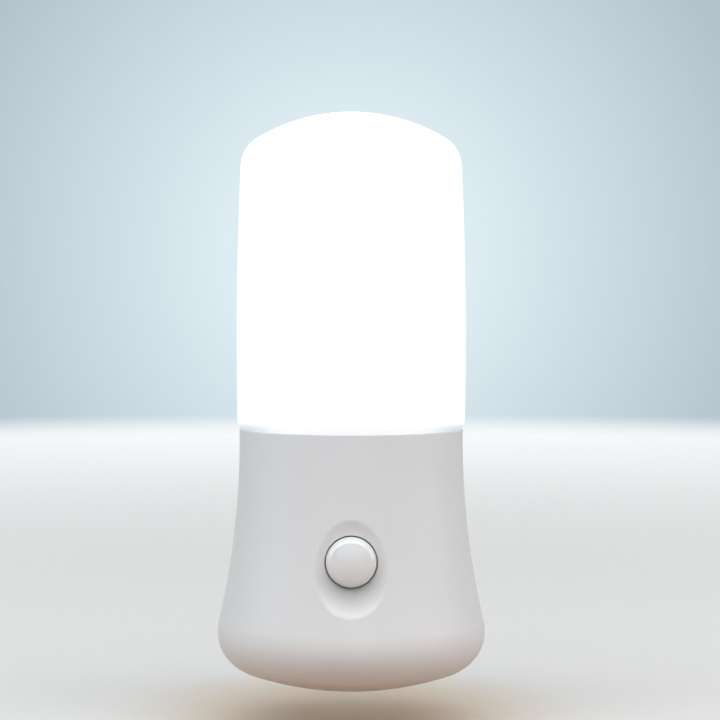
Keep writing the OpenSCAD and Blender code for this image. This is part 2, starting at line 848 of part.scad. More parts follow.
module led_bracket() {
    floor_band = band(spigot_x, ledge_z, bracket_z);
    arm_x = led_board_w / 2 + fit - slot_depth + arm_w / 2;
    arm_y = -led_board_y - board_t / 2;
    color("white")
    difference() {
        union() {
            round_front(floor_band);
            straight_middle(floor_band);
            round_back(floor_band, -diffuser_back);
            for (side = [-1, 1])
                translate([side * arm_x - arm_w / 2, arm_y - arm_depth / 2, bracket_z - 0.5])
                    cube([arm_w, arm_depth, arm_h + 0.5]);
        }
        translate([-led_board_w / 2 - fit, arm_y - board_t / 2 - fit, bracket_z])
            cube([led_board_w + 2 * fit, board_t + 2 * fit, far]);
        for (side = [-1, 1])
            translate([side * led_lead_x, led_lead_y, ledge_z - 1])
                cylinder(h = bracket_t + 2, d = lead_hole_d);
    }
}

module led_board() {
    color("white")
    plate_y(led_front_y, -led_board_y, led_board_z + led_board_h / 2, rounded(led_board_w, led_board_h, 1));
}

module led_chips() {
    first_z = bracket_z + arm_h;
    last_z = led_board_z + led_board_h - led_margin;
    color("gold")
    for (side = [-1, 1], row = [0:led_rows - 1])
        box_y(side * led_x, led_front_y - led_t, led_front_y,
            first_z + (last_z - first_z) * row / (led_rows - 1), led_w, led_h);
}

// ---- Leads ----

// From the end of a blade's tail to the driver board.
function mains_route(side) =
    let (
        from = [side * blade_pitch / 2, tail_end_y, 0],
        to = [side * (board_w / 2 - 2.2), board_rear_y, boss_r + 2.2]
    )
    [from, from - [0, lead_reach / 2, 0], to + [0, lead_reach / 2, 0], to];

// From the driver board up through the bracket to the front of the LED board.
function led_route(side) =
    let (
        from = [side * led_lead_x, board_rear_y, bracket_mid_z - led_lead_rise],
        to = [side * led_lead_x, led_front_y, bracket_mid_z + led_lead_rise]
    )
    [from, from + [0, lead_reach, 0], to - [0, lead_reach, 0], to];

module live_lead() {
    color("saddlebrown")
    lead(mains_route(1));
}

module neutral_lead() {
    color("royalblue")
    lead(mains_route(-1));
}

module led_lead_left() {
    color("black")
    lead(led_route(-1));
}

module led_lead_right() {
    color("red")
    lead(led_route(1));
}

front_housing();
rear_cover();
diffuser();
button_cap();
blade_left();
blade_right();
blade_clamp();
cover_screws();
driver_board();
board_screws();
film_capacitor();
filter_capacitor();
bridge_rectifier();
fuse_resistor();
chip_resistors();
switch_body();
switch_base();
switch_plunger();
switch_spring();
latch_wire();
contact_bridge();
switch_terminals();
led_bracket();
led_board();
led_chips();
live_lead();
neutral_lead();
led_lead_left();
led_lead_right();
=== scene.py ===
"""Plug-in night light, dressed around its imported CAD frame.

The moulded shells are swept from the same outline as the solids: a half circle in front, straight
sides and a flattened half circle behind, cut off flat where the light meets the wall plate. The
button, the blades, the screws and the switch's spring are modelled in full. The other pieces inside
keep their solids and get a finish of their own. Everything is in metres, in the solids' frame.
"""

import json
import math

import bmesh
import bpy
from bpy.props import FloatProperty, FloatVectorProperty, PointerProperty
from bpy.types import Operator, Panel, PropertyGroup
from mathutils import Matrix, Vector


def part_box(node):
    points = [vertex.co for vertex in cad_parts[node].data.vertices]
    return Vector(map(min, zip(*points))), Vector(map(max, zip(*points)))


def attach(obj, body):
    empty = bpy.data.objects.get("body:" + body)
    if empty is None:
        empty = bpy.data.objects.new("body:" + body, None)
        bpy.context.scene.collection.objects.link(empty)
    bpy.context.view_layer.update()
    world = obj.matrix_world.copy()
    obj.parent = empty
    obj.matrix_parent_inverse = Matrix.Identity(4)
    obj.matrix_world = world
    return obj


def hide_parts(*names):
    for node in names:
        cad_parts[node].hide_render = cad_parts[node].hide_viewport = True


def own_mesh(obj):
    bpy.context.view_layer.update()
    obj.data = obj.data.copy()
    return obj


bl_info = {
    "name": "Plug-in Night Light",
    "version": (1, 0, 0),
    "blender": (4, 5, 0),
    "location": "View3D > Sidebar > Night Light",
    "description": "Builds the shells, button, plug, finishes and stage of a plug-in night light",
    "category": "Object",
}

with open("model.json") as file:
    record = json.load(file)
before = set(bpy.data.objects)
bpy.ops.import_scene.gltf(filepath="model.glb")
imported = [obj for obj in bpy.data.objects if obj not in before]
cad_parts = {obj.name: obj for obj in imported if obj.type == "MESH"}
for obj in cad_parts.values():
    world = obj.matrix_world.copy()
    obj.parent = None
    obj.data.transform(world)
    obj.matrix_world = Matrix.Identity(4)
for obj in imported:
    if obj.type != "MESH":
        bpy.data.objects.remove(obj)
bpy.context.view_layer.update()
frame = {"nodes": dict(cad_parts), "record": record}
BOXES = {node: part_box(node) for node in frame["nodes"]}

MM = 0.001
TAU = 2 * math.pi
QUARTER = math.pi / 2
CREASE = math.radians(32)  # an edge that turns further stays crisp
CLEAR = 1 * MM  # how far a cutter starts outside of what it cuts
THROUGH = 9 * MM  # the same where it goes right through a wall
ON_AXIS = 1e-7  # a smaller radius lies on the axis
WELD = 2e-6  # points that are closer are one point

# Place, size, power in watts and colour of each lamp, and the point at which they all aim
LAMPS = {
    "overhead": ((0, -0.22, 0.40), (0.90, 0.30), 1.95, (0.96, 0.98, 1.0)),
    "front fill": ((0, -1.10, 0.27), (0.90, 0.50), 0.70, (0.87, 0.95, 1.0)),
    "left fill": ((-0.98, -0.21, 0.34), (0.70, 0.60), 1.95, (0.72, 0.89, 1.0)),
    "right fill": ((0.98, -0.21, 0.34), (0.70, 0.60), 1.90, (0.92, 0.97, 1.0)),
    "back fill": ((0, 1.00, 0.45), (0.80, 0.50), 2.80, (0.96, 0.98, 1.0)),
}
LAMP_AIM = Vector((0, -0.02, 0.02))
# Middle of the painted halo of the light's glow in the background
PAINTED_HALO_MIDDLE = Vector((0, 1, 0.036)).normalized()


def low(node):
    """Lowest corner of a solid."""
    return BOXES[node][0]


def high(node):
    """Highest corner of a solid."""
    return BOXES[node][1]


def middle(node):
    """Middle of a solid's box."""
    return (low(node) + high(node)) / 2


def button_axis():
    """Point on the button's axis, in the plane of its face."""
    centre = middle("button_cap")
    return Vector((centre.x, low("button_cap").y, centre.z))


def slot_colour(name):
    """Colour that the record gives to one of its material slots."""
    for material in frame["record"]["materials"]:
        if material["slot"] == name:
            return tuple(material["base_color"])
    raise ValueError(f"the record has no material slot {name}")


def number(name, description, default, **more):
    """Property for a number."""
    return FloatProperty(name=name, description=description, default=default, **more)


def metres(name, description, default):
    """Property for a length."""
    return number(name, description, default, unit="LENGTH", precision=5)


def tint(name, description, default):
    """Property for a linear colour."""
    return FloatVectorProperty(
        name=name, description=description, default=default, subtype="COLOR", min=0, max=1
    )


# ---- Properties ----


class BodySizes(PropertyGroup):
    """Outline of the base, shared by its two mouldings."""

    base_width: metres("Base width", "Width at the widest", high("front_housing").x * 2)
    neck_width: metres("Neck width", "Width of the base under the diffuser", 32.4 * MM)
    flare_height: metres("Flare height", "Height above the bottom at which the flare ends", 36 * MM)
    foot_height: metres("Foot height", "Height of the widest point above the bottom", 8.2 * MM)
    foot_radius: metres("Foot radius", "Radius of the lower edge", 5.8 * MM)
    shoulder_radius: metres("Shoulder radius", "Radius from the foot into the flare", 8 * MM)
    front_axis: metres("Front axis", "Distance of the round front's axis from the wall", 14 * MM)
    cover_depth: metres("Cover depth", "Distance of the parting line from the wall", 5 * MM)
    back_bulge: metres("Back bulge", "Depth of the rounded back before it is cut flat", 9 * MM)
    wall: metres("Wall", "Wall of the front moulding", 1.8 * MM)
    cover_wall: metres("Cover wall", "Wall of the rear cover with its rim", 2.95 * MM)
    plate: metres("Plate", "Thickness of the rear cover's flat plate", 2 * MM)
    rim: metres("Rim", "Length of the rear cover's locating rim", 1.6 * MM)
    collar_wall: metres("Collar wall", "Wall of the neck around the spigot", 1.1 * MM)
    edge_radius: metres("Edge radius", "Rounding of the edges along the seams", 0.16 * MM)
    back_edge: metres("Back edge", "Softening of the edge round the flat back", 0.4 * MM)


class DiffuserSizes(PropertyGroup):
    """Outline of the domed diffuser."""

    width: metres("Width", "Width at the widest", 33.2 * MM)
    belly_height: metres("Belly height", "Height of the widest point above the bottom", 50 * MM)
    belly_radius: metres("Belly radius", "Radius of the slightly bellied side", 560 * MM)
    dome_radius: metres("Dome radius", "Radius of the domed top", 26.5 * MM)
    edge_radius: metres("Edge radius", "Radius between side and top", 4.8 * MM)
    wall: metres("Wall", "Wall of the moulding", 1.6 * MM)
    lip_in: metres("Lip", "How far the rounded lower edge ends inside the neck's face", 0.3 * MM)
    lip_height: metres("Lip height", "Height over which it turns in", 1.6 * MM)
    spigot_width: metres("Spigot width", "Width of the spigot in the neck", 29.9 * MM)
    spigot_wall: metres("Spigot wall", "Wall of the spigot", 1.2 * MM)
    spigot_gap: metres("Spigot gap", "Clearance around the spigot", 0.15 * MM)
    bead: metres("Bead", "How far the spigot's snap bead stands out", 0.3 * MM)
    bead_radius: metres("Bead radius", "Radius of the bead's section", 0.7 * MM)


class ButtonSizes(PropertyGroup):
    """The push button and the dished recess around it."""

    diameter: metres("Diameter", "Diameter of the button", 7 * MM)
    dome_radius: metres("Dome radius", "Radius of the slightly domed face", 9 * MM)
    edge_radius: metres("Edge radius", "Radius of the face's edge", 1.3 * MM)
    clearance: metres("Clearance", "Gap around the button", 0.15 * MM)
    bore_edge: metres("Bore edge", "Rounding of the bore's mouth", 0.2 * MM)
    flange: metres("Flange", "Thickness of the flange behind the front", 1 * MM)
    flange_edge: metres("Flange edge", "Chamfer of the flange", 0.12 * MM)
    socket: metres("Socket", "Width of the square socket for the plunger", 3.36 * MM)
    socket_depth: metres("Socket depth", "Depth of that socket", 3.4 * MM)
    pad: metres("Pad", "Width of the pad around the button's bore", 4 * MM)
    dish_radius: metres("Dish radius", "Radius of the recess across the front", 9 * MM)
    dish_round: metres("Dish rounding", "Radius of the recess in depth", 4.5 * MM)
    dish_rise: metres("Dish rise", "Height of the recess's middle above the button's", 0.8 * MM)
    dish_depth: metres("Dish depth", "Depth of the recess at its middle", 1.4 * MM)
    dish_angle: number(
        "Dish angle",
        "Angle to each side of the front within which the shell is fine enough for the recess",
        math.radians(33),
        subtype="ANGLE",
    )
    upper_rim: metres("Upper rim", "Softness of the recess's rim above the button", 0.12 * MM)
    lower_rim: metres("Lower rim", "Softness of the recess's rim below the button", 0.2 * MM)


class PlugSizes(PropertyGroup):
    """Blades, screws and spring."""

    blade_width: metres("Blade width", "Width of a blade", 6.35 * MM)
    blade_tail: metres("Blade tail", "Width of a blade's solder tail", 3.2 * MM)
    blade_tip: metres("Blade tip", "Length of the chamfer at a blade's tip", 1.2 * MM)
    blade_shoulder: metres("Blade shoulder", "Length of the shoulder behind the plate", 1.5 * MM)
    blade_edge: metres("Blade edge", "Rounding of a blade's edges", 0.2 * MM)
    slot_gap: metres("Slot gap", "Clearance around blades and screws", 0.08 * MM)
    screw_spacing: metres("Screw spacing", "Distance between the cover screws", 24 * MM)
    screw_diameter: metres("Screw", "Diameter of a cover screw's thread", 2.6 * MM)
    screw_head: metres("Screw head", "Thickness of a cover screw's head", 1.5 * MM)
    screw_tip: metres("Screw tip", "Length of a screw's pointed end", 1.2 * MM)
    sink_edge: metres("Sink edge", "Chamfer of the sinks for the cover screws", 0.15 * MM)
    pilot_spare: metres("Pilot spare", "How far a pilot hole runs past its screw", 0.5 * MM)
    boss_radius: metres("Boss", "Radius of the bosses for these screws", 2.8 * MM)
    post_spacing: metres("Post spacing", "Distance between the board's posts", 18 * MM)
    post_inset: metres("Post inset", "Distance of a post from the board's end", 2.9 * MM)
    post_radius: metres("Post", "Radius of the board's posts", 2.1 * MM)
    rib: metres("Rib", "Thickness of the ribs that tie the posts to the wall", 1 * MM)
    rib_drop: metres("Rib drop", "How far a rib ends below its post", 0.5 * MM)
    board_screw: metres("Board screw", "Diameter of a board screw's thread", 2 * MM)
    board_screw_head: metres("Board screw head", "Thickness of a board screw's head", 1.2 * MM)
    thread_pitch: metres("Thread pitch", "Pitch of the screws", 0.9 * MM)
    thread_depth: metres("Thread depth", "Depth of the screws' threads", 0.26 * MM)
    spring_wire: metres("Spring wire", "Diameter of the spring's wire", 0.36 * MM)


class Finishes(PropertyGroup):
    """Colours of the visible finishes."""

    housing: tint("Housing", "Satin white moulding", slot_colour("housing"))
    # Painted shadow of the button in the recess below it, mixed into the housing's colour
    dust: tint("Dust", "Dust in the recess", (0.10, 0.09, 0.08))
    painted_shadow_share: number("Dust share", "Share of dust where it is thickest", 0.33, subtype="FACTOR")
    painted_shadow_in: metres("Dust place", "How far behind the button's face it is thickest", 1.4 * MM)
    painted_shadow_drop: metres("Dust drop", "How far below the button's axis it is thickest", 3 * MM)
    painted_shadow_core: metres("Dust core", "Radius within which it is thickest", 1.2 * MM)
    painted_shadow_reach: metres("Dust reach", "Radius at which it ends", 5.8 * MM)
    button: tint("Button", "Gloss white button", slot_colour("button"))
    diffuser: tint("Diffuser", "Opal moulding, unlit", (0.52, 0.53, 0.54))
    glow: tint("Glow", "Light that the diffuser gives off", (0.985, 0.995, 1.0))
    # Painted shade of the rounded lower edge: the glow is dimmer and cooler there, and more so at its
    # sides
    painted_shade_glow_low: tint("Low glow", "The same at its lower edge", (0.90, 0.95, 0.99))
    painted_shade_glow_corner: tint("Corner glow", "The same at the sides of that edge", (0.46, 0.57, 0.68))
    glow_strength: number("Glow strength", "Strength of that light", 0.68)
    blade: tint("Blade", "Nickel plate", slot_colour("blade"))


class StageSettings(PropertyGroup):
    """Floor, backdrop and camera."""

    floor_drop: metres("Floor drop", "Floor below the lowest point", 6 * MM)
    floor_reach: metres("Floor reach", "Radius at which the floor has faded out", 1.0)
    floor_fade: metres("Floor fade", "Radius at which it starts to fade", 0.7)
    far_reach: metres("Far reach", "Radius at which the far tone is full", 0.6)
    floor_shadow_radius: metres("Under radius", "Radius of the tone right under the body", 18 * MM)
    patch_radius: metres("Patch radius", "Radius at which that tone ends", 45 * MM)
    patch_reach: metres("Patch reach", "Radius at which the warm bounce ends", 216 * MM)
    floor_seen: tint("Floor", "Floor as the camera and gloss see it", (0.80, 0.79, 0.765))
    # Painted shadow: a darker, warmer floor tone for the camera and gloss right under the body
    floor_painted_shadow: tint("Floor under the body", "The same under the body", (0.77, 0.65, 0.52))
    floor_far: tint("Far floor", "Tone added to the same far out", (0.25, 0.26, 0.275))
    floor_bounce: tint("Floor bounce", "Floor as it lights the body", (0.55, 0.58, 0.65))
    floor_warm: tint("Warm bounce", "The same around the body", (0.49, 0.325, 0.23))
    world_light: tint("World", "Light from all round", (0.97, 0.985, 1.0))
    world_strength: number("World strength", "Strength of that light", 0.34)
    # Painted light: the background is lighter round the light, a halo of its glow as on a wall behind
    # it
    backdrop: tint("Backdrop", "Background around the light", (0.73, 0.84, 0.90))
    backdrop_far: tint("Backdrop edge", "Background away from it", (0.45, 0.55, 0.61))
    painted_halo_core: number("Backdrop core", "Where the first tone ends, in sight lines", 0.062)
    painted_halo_reach: number("Backdrop reach", "Where the second is full, in sight lines", 0.206)
    camera_distance: metres("Camera distance", "Camera to the wall face", 304.5 * MM)
    camera_height: metres("Camera height", "Camera above the blades", 40.1 * MM)
    camera_pitch: number("Camera pitch", "Its look down", math.radians(1.09), subtype="ANGLE")
    camera_lens: number("Camera lens", "Focal length in millimetres", 100)
    camera_shift: number("Camera shift", "Sideways shift of the frame", 0.0122)


class NightLight(PropertyGroup):
    """Everything that can be set on the night light."""

    body: PointerProperty(type=BodySizes)
    diffuser: PointerProperty(type=DiffuserSizes)
    button: PointerProperty(type=ButtonSizes)
    plug: PointerProperty(type=PlugSizes)
    finishes: PointerProperty(type=Finishes)
    stage: PointerProperty(type=StageSettings)


def settings():
    """The scene's night light settings."""
    return bpy.context.scene.night_light


# ---- Outlines: each is a list of (half width, height) from the bottom up ----


def arc(centre, radius, start, end, count):
    """Points of an arc in radians, in a count of steps, without the first, so that arcs can be
    chained."""
    angles = [start + (end - start) * i / count for i in range(1, count + 1)]
    return [(centre[0] + radius * math.cos(a), centre[1] + radius * math.sin(a)) for a in angles]


def quarter_turn(steps):
    """Angles from 0 to a right angle in equal steps."""
    return [QUARTER * i / steps for i in range(steps + 1)]


def bottom():
    """Height of the lowest point of the body."""
    return low("front_housing").z


def seam():
    """Height of the seam between the base and the diffuser."""
    return high("front_housing").z


def flare_arc(body):
    """Angle at which the flare leaves the shoulder, and the flare's radius."""
    rise = body.flare_height - body.foot_height
    angle = 2 * math.atan((body.base_width - body.neck_width) / 2 / rise)
    return angle, rise / math.sin(angle) - body.shoulder_radius


def base_outline(body, inset, top, rows):
    """Right half of the base from the middle of its underside to a height, moved in by an inset,
    with a number of rows up the flare."""
    foot_x = body.base_width / 2 - body.foot_radius
    foot_z = bottom() + body.foot_height
    # Painted shadow under the body, seen by the camera and in gloss
    keel_radius = (foot_x**2 + body.foot_height**2 - body.foot_radius**2) / (
        2 * (body.foot_height - body.foot_radius)
    )
    keel_angle = math.asin(foot_x / (keel_radius - body.foot_radius)) - QUARTER
    flare_angle, flare = flare_arc(body)
    flare_top = bottom() + body.flare_height
    last = math.pi + math.asin(max(flare_top - top, 0) / (flare + inset))
    keel = (0, bottom() + keel_radius)
    shoulder = (body.base_width / 2 - body.shoulder_radius, foot_z)
    middle_of_flare = (body.neck_width / 2 + flare, flare_top)
    points = [(0, bottom() + inset)]
    points += arc(keel, keel_radius - inset, -QUARTER, keel_angle, 14)
    points += arc((foot_x, foot_z), body.foot_radius - inset, keel_angle, 0, 26)
    points += arc(shoulder, body.shoulder_radius - inset, 0, flare_angle, 10)
    points += arc(middle_of_flare, flare + inset, math.pi + flare_angle, last, rows)
    if top > flare_top:
        neck = body.neck_width / 2 - inset
        points += [(neck, flare_top + (top - flare_top) * i / 6) for i in range(1, 7)]
    return points


def base_shell_outline(body, rows):
    """Function that gives the base's outer face for a column's inset, rounded at the seam."""

    def outline(inset):
        points = base_outline(body, inset, seam(), rows)
        x, z = points[-1]
        radius = body.edge_radius
        kept = [point for point in points if point[1] < z - radius]
        return kept + [
            (x - radius * (1 - math.cos(a)), z - radius + radius * math.sin(a))
            for a in quarter_turn(5)
        ]

    return outline


def circles_meet(c1, r1, c2, r2):
    """Upper point where two circles cross."""
    gap = c2 - c1
    along = (r1**2 - r2**2 + gap.length_squared) / (2 * gap.length)
    across = math.sqrt(r1**2 - along**2)
    way = gap.normalized()
    return c1 + along * way + across * Vector((-way.y, way.x))


def dome_outline(sizes, inset, start):
    """Right half of the diffuser above a height, moved in by an inset, up to the axis."""
    side_radius, dome_radius, edge_radius = sizes.belly_radius, sizes.dome_radius, sizes.edge_radius
    belly = Vector((sizes.width / 2 - side_radius, bottom() + sizes.belly_height))
    dome = Vector((0, high("diffuser").z - dome_radius))
    edge = circles_meet(belly, side_radius - edge_radius, dome, dome_radius - edge_radius)
    side_end = math.atan2(edge.y - belly.y, edge.x - belly.x)
    edge_end = math.atan2(edge.y - dome.y, edge.x)
    side_start = math.asin((start - belly.y) / (side_radius - inset))
    points = [(belly.x + (side_radius - inset) * math.cos(side_start), start)]
    points += arc(belly, side_radius - inset, side_start, side_end, 24)
    points += arc(edge, edge_radius - inset, side_end, edge_end, 22)
    points += arc(dome, dome_radius - inset, edge_end, QUARTER, 26)
    points[-1] = (0, points[-1][1])
    return points


def bead_outline(sizes, gap):
    """Right half of a disc with the spigot's snap bead on its rim, grown by a gap."""
    radius = sizes.bead_radius + gap
    angle = math.acos((radius - sizes.bead) / radius)
    edge = sizes.spigot_width / 2 + gap
    height = (low("diffuser").z + seam()) / 2
    rise = radius * math.sin(angle)
    points = [(0, height - rise), (edge, height - rise)]
    points += arc((edge + sizes.bead - radius, height), radius, -angle, angle, 8)
    return [*points, (0, height + rise)]


# ---- Plan: columns of (inset, place), where place turns a half width into a point of the plan ----


def soft_min(a, b, softness):
    """The smaller of two numbers, blended over a softness."""
    near = max(softness - abs(a - b), 0) / softness
    return min(a, b) - near * near * softness / 4


def front_columns(body, dense_angle=0.0):
    """Columns round the front half circle, from the left side to the right, closer together within
    an angle of the middle."""
    dense_step, coarse_step = math.radians(0.45), math.radians(3)
    hair = 1e-6
    angles = [-QUARTER]
    while angles[-1] < QUARTER - hair:
        step = dense_step if abs(angles[-1] + hair) < dense_angle else coarse_step
        angles.append(min(angles[-1] + step, QUARTER))
    return [
        (0, lambda w, a=a: (w * math.sin(a), -body.front_axis - w * math.cos(a))) for a in angles
    ]


def side_columns(body, side, end):
    """Four columns along a straight side, from near the front axis to an end."""
    ys = [-body.front_axis + (end + body.front_axis) * i / 4 for i in range(1, 5)]
    return [(0, lambda w, y=y: (side * w, y)) for y in ys]


def open_columns(body, end):
    """Columns from an end of the left side, round the front, to the same end of the right side."""
    left, right = side_columns(body, -1, end), side_columns(body, 1, end)
    return left[::-1] + front_columns(body) + right


def parting_columns(body, side):
    """Columns that round the front moulding's edge into the parting plane."""
    edge = body.edge_radius
    columns = []
    for a in quarter_turn(5)[1:]:
        y = -body.cover_depth - edge + edge * math.sin(a)
        columns.append((edge * (1 - math.cos(a)), lambda w, y=y: (side * w, y)))
    return columns


def back_place(body, w, share, flat, past_corner):
    """A point on the flattened back. Share runs from the side to the corner of the flat, or, past
    the corner, from there to the middle."""
    reach = max(w * body.back_bulge / (body.base_width / 2), 1e-9)
    corner = math.asin(min(1, (flat + body.cover_depth) / reach))
    turn = corner + (QUARTER - corner) * share if past_corner else corner * share
    y = -body.cover_depth + reach * math.sin(turn)
    return w * math.cos(turn), soft_min(y, flat, body.back_edge)


def back_columns(body, flat, edge):
    """Columns from the right side round the back to the left, close together at the corners of the
    flat, with an edge radius at both ends."""
    to_corner = [0.06, 0.15, 0.3, 0.45, 0.6, 0.72, 0.82, 0.88, 0.92, 0.95, 0.975, 1]
    past_corner = [0.015, 0.03, 0.05, 0.07, 0.1, 0.14, 0.2, 0.3, 0.45, 0.7, 1]
    half = [(0, 0, False)]
    if edge:
        turn = quarter_turn(5)[:-1]
        half = [(edge * (1 - math.sin(a)), 0.05 * a / QUARTER, False) for a in turn]
    half += [(0, s, False) for s in to_corner] + [(0, s, True) for s in past_corner]
    columns = []
    for side, run in ((1, half), (-1, half[-2::-1])):
        for inset, share, past in run:

            def place(w, side=side, share=share, past=past):
                x, y = back_place(body, w, share, flat, past)
                return side * x, y

            columns.append((inset, place))
    return columns


# ---- Meshes ----


def swept_mesh(outline, columns, closed):
    """Closed mesh from an outline for each column's inset. The ends are capped flat."""
    mesh = bmesh.new()
    grid = []
    for inset, place in columns:
        grid.append([mesh.verts.new((*place(max(w, 0)), z)) for w, z in outline(inset)])
    count = len(grid)
    for i in range(count if closed else count - 1):
        here, there = grid[i], grid[(i + 1) % count]
        for k in range(len(here) - 1):
            mesh.faces.new((here[k], there[k], there[k + 1], here[k + 1]))
    if not closed:
        mesh.faces.new(grid[0] + grid[-1][::-1])
    points = outline(0)
    if points[0][0] > ON_AXIS:
        mesh.faces.new([column[0] for column in grid][::-1])
    if points[-1][0] > ON_AXIS:
        mesh.faces.new([column[-1] for column in grid])
    bmesh.ops.remove_doubles(mesh, verts=mesh.verts, dist=WELD)
    bmesh.ops.dissolve_degenerate(mesh, dist=WELD / 2, edges=mesh.edges)
    bmesh.ops.recalc_face_normals(mesh, faces=mesh.faces)
    return mesh


def band(points, columns):
    """Closed mesh of one outline that keeps its size in every column."""
    return swept_mesh(lambda _: points, columns, False)


def skin(mesh, rings, capped):
    """Covers rings of points. A ring of one point is a pole, and flat ends are capped."""
    sides = max(len(ring) for ring in rings)
    for one, two in zip(rings, rings[1:]):
        for k in range(sides):
            n = (k + 1) % sides
            if len(one) == 1:
                mesh.faces.new((one[0], two[k], two[n]))
            elif len(two) == 1:
                mesh.faces.new((one[k], one[n], two[0]))
            else:
                mesh.faces.new((one[k], one[n], two[n], two[k]))
    if capped:
        mesh.faces.new(rings[0][::-1])
        mesh.faces.new(rings[-1])
    bmesh.ops.recalc_face_normals(mesh, faces=mesh.faces)
    return mesh


def lathe(outline, centre, sides=96, shaped=lambda radius, y, angle: radius):
    """Closed mesh turned about +Y through a centre, from (radius, y) points in order. Shaped can
    vary a radius round the turn."""
    mesh = bmesh.new()
    rings = []
    for radius, y in outline:
        ring = []
        for k in range(sides if radius > ON_AXIS else 1):
            a = TAU * k / sides
            r = shaped(radius, y, a)
            place = (centre.x + r * math.cos(a), centre.y + y, centre.z + r * math.sin(a))
            ring.append(mesh.verts.new(place))
        rings.append(ring)
    return skin(mesh, rings, False)


def tube(path, radius, sides):
    """Closed tube along a list of points."""
    mesh = bmesh.new()
    rings = []
    side = None
    for i, point in enumerate(path):
        way = (path[min(i + 1, len(path) - 1)] - path[max(i - 1, 0)]).normalized()
        if side is None:
            side = way.orthogonal().normalized()
        side = (side - way * side.dot(way)).normalized()
        other = way.cross(side)
        turns = [TAU * k / sides for k in range(sides)]
        places = [point + radius * (math.cos(a) * side + math.sin(a) * other) for a in turns]
        rings.append([mesh.verts.new(place) for place in places])
    return skin(mesh, rings, True)


def bar_mesh(sections, centre):
    """Closed bar along +Y through a centre, from (y, half width, half height) sections."""
    mesh = bmesh.new()
    rings = []
    for y, across, up in sections:
        corners = ((-across, -up), (across, -up), (across, up), (-across, up))
        rings.append([mesh.verts.new(centre + Vector((x, y, z))) for x, z in corners])
    return skin(mesh, rings, True)


def to_object(name, mesh):
    """New object from a bmesh, which it frees."""
    data = bpy.data.meshes.new(name)
    mesh.to_mesh(data)
    mesh.free()
    piece = bpy.data.objects.new(name, data)
    bpy.context.scene.collection.objects.link(piece)
    return piece


def to_mesh(pieces):
    """One bmesh from several objects, which it removes."""
    mesh = bmesh.new()
    for piece in pieces:
        mesh.from_mesh(piece.data)
        bpy.data.objects.remove(piece)
    return mesh


def settle(piece):
    """Applies a piece's modifiers."""
    graph = bpy.context.evaluated_depsgraph_get()
    data = bpy.data.meshes.new_from_object(piece.evaluated_get(graph))
    piece.modifiers.clear()
    piece.data = data


def combine(piece, operation, mesh):
    """Boolean of a piece with a closed mesh, applied at once."""
    other = to_object("cutter", mesh)
    modifier = piece.modifiers.new("combine", "BOOLEAN")
    modifier.operation = operation
    modifier.solver = "MANIFOLD"
    modifier.object = other
    settle(piece)
    bpy.data.objects.remove(other)


def cut(piece, mesh):
    """Cuts a closed mesh out of a piece."""
    combine(piece, "DIFFERENCE", mesh)


def drill(piece, x, z, steps):
    """Cuts a stepped round hole along +Y, from (radius, y) steps."""
    outline = [(0, steps[0][1]), *steps, (0, steps[-1][1])]
    cut(piece, lathe(outline, Vector((x, 0, z)), sides=64))


def post(x, z, radius, start, end):
    """Closed cylinder along +Y."""
    outline = [(0, 0), (radius, 0), (radius, end - start), (0, end - start)]
    return lathe(outline, Vector((x, start, z)), sides=48)


def bevel(piece, width, angle):
    """Rounds the edges of a piece that turn further than an angle."""
    modifier = piece.modifiers.new("edges", "BEVEL")
    modifier.width = width
    modifier.segments = 3
    modifier.limit_method = "ANGLE"
    modifier.angle_limit = angle
    settle(piece)


def dress(piece, body, material, node):
    """Smooths a finished piece with crisp creases and flat faces kept flat, gives it its material and
    its body, and hides the solid that it stands for."""
    piece.data.shade_smooth()
    piece.data.set_sharp_from_angle(angle=CREASE)
    modifier = piece.modifiers.new("normals", "WEIGHTED_NORMAL")
    modifier.keep_sharp = True
    modifier.weight = 60
    settle(piece)
    piece.data.materials.clear()
    piece.data.materials.append(material)
    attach(piece, body)
    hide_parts(node)


# ---- Shader nodes ----


def feed(tree, node, inputs):
    """Gives a shader node's inputs their values, or links them to other nodes' outputs."""
    for key, value in inputs.items():
        socket = node.inputs[key]
        if isinstance(value, bpy.types.NodeSocket):
            tree.links.new(value, socket)
        elif socket.type == "RGBA":
            socket.default_value = (*value, 1)
        else:
            socket.default_value = value


def new_node(tree, kind, inputs, **options):
    """New shader node with its options set and its inputs fed."""
    node = tree.nodes.new(kind)
    for option, value in options.items():
        setattr(node, option, value)
    feed(tree, node, inputs)
    return node


def math_node(tree, operation, first, second=0):
    """Math over numbers or sockets."""
    return new_node(tree, "ShaderNodeMath", {0: first, 1: second}, operation=operation).outputs[0]


def mix_colour(tree, factor, first, second):
    """Mix of two colours or sockets."""
    inputs = {0: factor, 6: first, 7: second}
    return new_node(tree, "ShaderNodeMix", inputs, data_type="RGBA").outputs[2]


def ramp(tree, value, start, end, kind="SMOOTHSTEP"):
    """Rise from 0 to 1 as a value goes from start to end."""
    inputs = {"Value": value, "From Min": start, "From Max": end}
    return new_node(tree, "ShaderNodeMapRange", inputs, interpolation_type=kind).outputs[0]


def noise(tree, scale, detail, vector):
    """Noise over a vector."""
    inputs = {"Scale": scale, "Detail": detail, "Vector": vector}
    return new_node(tree, "ShaderNodeTexNoise", inputs).outputs["Fac"]


def spread(tree, factor, span, centre):
    """Turns a 0 to 1 factor into a value that varies by a span about a centre."""
    swing = math_node(tree, "MULTIPLY", math_node(tree, "SUBTRACT", factor, 0.5), span)
    return math_node(tree, "ADD", swing, centre)


def coordinates(tree, kind="Object"):
    """Texture coordinates of a kind."""
    return tree.nodes.new("ShaderNodeTexCoord").outputs[kind]


